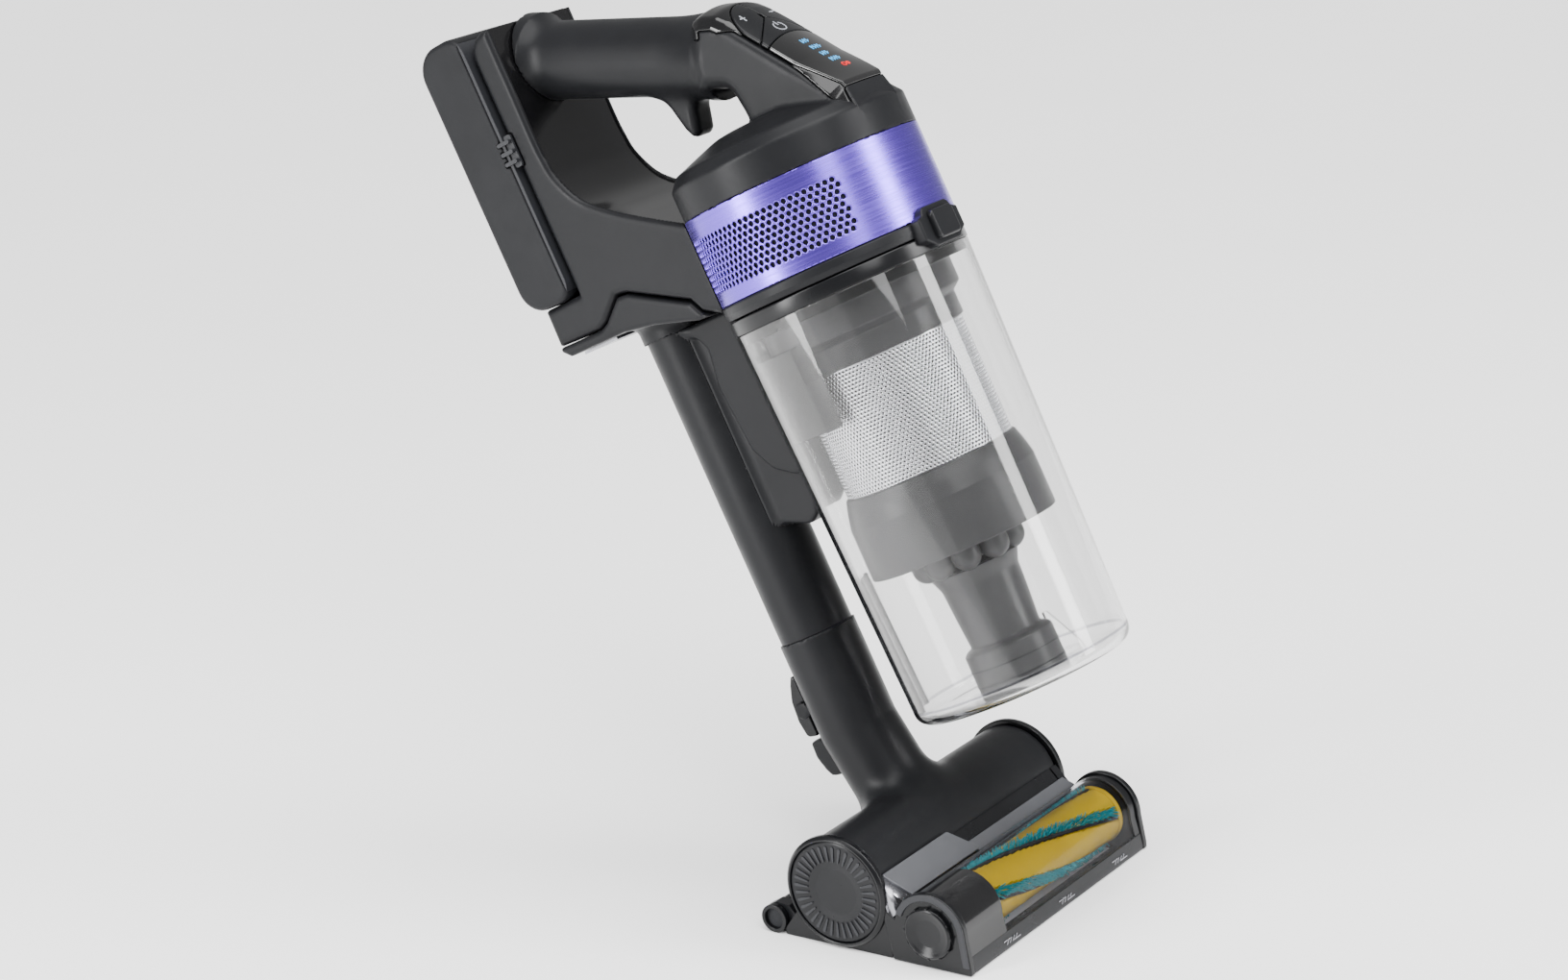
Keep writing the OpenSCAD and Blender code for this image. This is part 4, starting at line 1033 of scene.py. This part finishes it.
add("end_left", *prism(END_COVER, -END_OUT, -END_X), "rim", "tool", ROW,
    replaces="end_cover_l", bevel=0.7)
add("end_right", *join(prism(END_COVER, END_X, END_OUT), prism(LID, 77, END_X)), "rim",
    "tool", ROW, replaces="end_cover_r", bevel=0.7)
LEG = arc(BRUSH_Y, BRUSH_Z, 20.0, 20, 180, 26) + [(-76.2, 4.6), (-72.8, 4.6)]
LEG += arc(BRUSH_Y, BRUSH_Z, 16.6, 180, 20, 24)
add("end_arch", *prism(LEG, -87.3, -86.2), "bracket", "tool", ROW, bevel=0.4)
KNOB = fillet([(0, -86.3), (13.2, -86.3), (13.2, -88.4), (12.2, -89.2), (10.4, -88.5), (7, -87.5),
               (0, -87.0)], [0, 0, 0.6, 0.8, 1, 4])
grips = [moved(bar(-88.9, -86.6, 12.9, 13.7, -0.7, 0.7), RX(k * 30)) for k in range(12)]
add("knob", *join(lathe(KNOB, 64, "x"), *grips), "rim", "lock_knob", BRUSH,
    replaces="brush_knob", bevel=0.3)

# swivel ends: ring with its foot plate, dished disc and pill-shaped ribs
RING = fillet([(24, 82.9), (DISC_R, 82.9), (DISC_R, 86.2), (27.6, 87.6), (26.7, 87.4),
               (26.6, 85.2), (24, 85.2)], [0, 0.8, 1, 0.6, 0.4])
FOOT = fillet([(-30.6, 0.3), (-30.6, 14), (-24, 24), (24, 16), (33, 4), (33, 0.3)],
              [1, 3, 2, 2, 3, 1])
DISH = fillet([(0, 84.9), (26.5, 84.9), (26.5, 86.4), (25.6, 86.9), (15.2, 86.5), (12, 86.0),
               (0, 85.2)], [0, 0, 0.3, 0.5, 1.5, 4])
PILL = [(16.4, -0.35), (23.6, -0.85), (24.4, 0), (23.6, 0.85), (16.4, 0.35), (16.0, 0)]
PILLS = 36


def on_side(part, side):
    """The part as it is for side 1, mirrored in x for side -1."""
    v, f = moved(part, Matrix.Scale(side, 4, (1, 0, 0)))
    return v, f if side > 0 else [q[::-1] for q in f]


for side, end in ((-1, "l"), (1, "r")):
    ring = on_side(moved(lathe(RING, 96, "x"), T(0, 0, PIVOT_Z)), side)
    foot = prism(FOOT, side * 82.9, side * 85.1)
    add("cheek_" + end + "_ring", *join(ring, foot), "rim", "tool", ROW,
        replaces="cheek_" + end, bevel=0.3)
    add("disc_" + end, *on_side(lathe(DISH, 96, "x"), side), "satin", "tool", PIVOT,
        replaces="end_disc_" + end, slot="charcoal_shell", sharp=30)
    pills = [moved(prism(PILL, side * 86.3, side * 87.25), RX(k * 360 / PILLS))
             for k in range(PILLS)]
    add("disc_ribs_" + end, *join(*pills), "bracket", "tool", PIVOT)

# brush: a core with four helical grooves that hold felt strips and bristles
TWIST = math.radians(118) / 142     # turn of the helix for each millimetre along x
QUARTER = math.pi / 2
CORE_R, GROOVE, CORE_END = 14.6, 1.9, 72
BRISTLES = 440
TIP_R = 17.0


def brush_core():
    around, along = 96, 72
    v, f = [], []
    for i in range(along + 1):
        x = -CORE_END + 2 * CORE_END * i / along
        for k in range(around):
            a = 2 * math.pi * k / around
            q = ((a - TWIST * x) / QUARTER) % 1
            r = CORE_R - (0 if q > 0.30 else GROOVE)
            v.append((x, r * math.cos(a), r * math.sin(a)))
    for i in range(0, along * around, around):
        for k in range(around):
            k2 = (k + 1) % around
            f.append([i + around + k, i + around + k2, i + k2, i + k])
    f.append(list(range(around)))
    f.append([along * around + k for k in range(around)][::-1])
    hub = lathe(fillet([(0, 71.8), (15.2, 71.8), (15.2, 75), (4, 75), (4, 82), (0, 82)],
                       [0, 0.5, 0.5]), 48, "x")
    return join((v, f), on_side(hub, 1), on_side(hub, -1))


def felt_strip(turn, steps=60):
    v, f = [], []
    for i in range(steps + 1):
        x = -71 + 142 * i / steps
        for q, r in ((0.21, 12.5), (0.21, 15.0), (0.28, 15.0), (0.28, 12.5)):
            a = turn + TWIST * x + q * QUARTER
            v.append((x, r * math.cos(a), r * math.sin(a)))
    for i in range(steps):
        for c in range(4):
            d = (c + 1) % 4
            f.append([4 * i + c, 4 * i + d, 4 * i + 4 + d, 4 * i + 4 + c])
    f += [[3, 2, 1, 0], [4 * steps, 4 * steps + 1, 4 * steps + 2, 4 * steps + 3]]
    return v, f


def bristle(i, turn, rng):
    """A thin tuft that leans a little at random."""
    x = -70.5 + 141 * (i + rng.random() * 0.8) / BRISTLES
    q = 0.02 + 0.15 * ((i % 4) / 3)
    a = turn + TWIST * x + q * QUARTER + rng.normal(0, 0.01)
    tip = a + rng.normal(0.03, 0.05)
    root, top = 12.4, min(16.7 + rng.normal(0, 0.25), TIP_R)
    w = 0.013 + 0.004 * rng.random()
    h = 0.34
    tx = x + rng.normal(0, 0.35)
    corners = [(x - h, root, a - w), (x + h, root, a - w), (x, root, a + 2 * w),
               (tx - h / 2, top, tip - w), (tx + h / 2, top, tip - w), (tx, top, tip + w)]
    v = [(px, r * math.cos(t), r * math.sin(t)) for px, r, t in corners]
    return v, [[0, 2, 1], [3, 4, 5], [0, 1, 4, 3], [1, 2, 5, 4], [2, 0, 3, 5]]


rng = np.random.default_rng(7)
add("core", *brush_core(), "yellow", "brush", BRUSH, replaces="brush_core", sharp=30)
add("felt_strips", *join(*[felt_strip(k * QUARTER) for k in range(4)]), "felt", "brush",
    BRUSH, sharp=40)
add("bristles", *join(*[bristle(i, k * QUARTER, rng) for k in range(4) for i in range(BRISTLES)]),
    "teal", "brush", BRUSH, replaces="brush_strips", sharp=0)

# rear roller: a tube with open ends, and its two hubs
ROLLER_TUBE = fillet([(5.2, -75.4), (5.2, 75.4), (ROLLER_R, 75.4), (ROLLER_R, -75.4)], 0.3)
add("roller_shell", *moved(lathe(ROLLER_TUBE, 48, "x"), T(0, ROLLER_Y, ROLLER_R + GROUND_GAP)),
    "rim", "roller", ROW)
HUB_AT = T(0, 39.4, 7.4 + GROUND_GAP)
HUB = [(0, 82.7), (7.4, 82.7), (7.4, 86.2), (5.4, 86.2), (5.4, 83.6), (0, 83.6)]
add("roller_hubs", *join(*[on_side(moved(lathe(HUB, 48, "x"), HUB_AT), side) for side in (-1, 1)]),
    "rim", "tool", ROW, bevel=0.3)
WELLS = [moved(lathe([(0, x), (5.3, x), (5.3, x + 0.1), (0, x + 0.1)], 48, "x"), HUB_AT)
         for x in (-83.75, 83.65)]
add("roller_hub_wells", *join(*WELLS), "felt", "tool", ROW)

# ---- CAD nodes that are shown
LOOK = {"dock_plate": ("silver", 0.2), "dock_contacts": ("copper", 0), "main_board": ("board", 0),
        "battery_terminals": ("copper", 0), "exhaust_filter": ("foam", 0), "motor_can": ("alloy", 0),
        "impeller": ("grey", 0), "suction_tube": ("charcoal", 0), "battery_cells": ("cell", 0),
        "pre_filter": ("foam", 0), "tool_base": ("satin", 0.5), "brush_motor": ("alloy", 0),
        "rear_roller": ("rim", 0)}
for n, (mat, width) in LOOK.items():
    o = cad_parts[n]
    o.data.materials.clear()
    o.data.materials.append(M[mat])
    if width:
        b = o.modifiers.new("edge", "BEVEL")
        b.width, b.segments, b.limit_method = width * 0.001, 2, "ANGLE"
        b.angle_limit = math.radians(40)
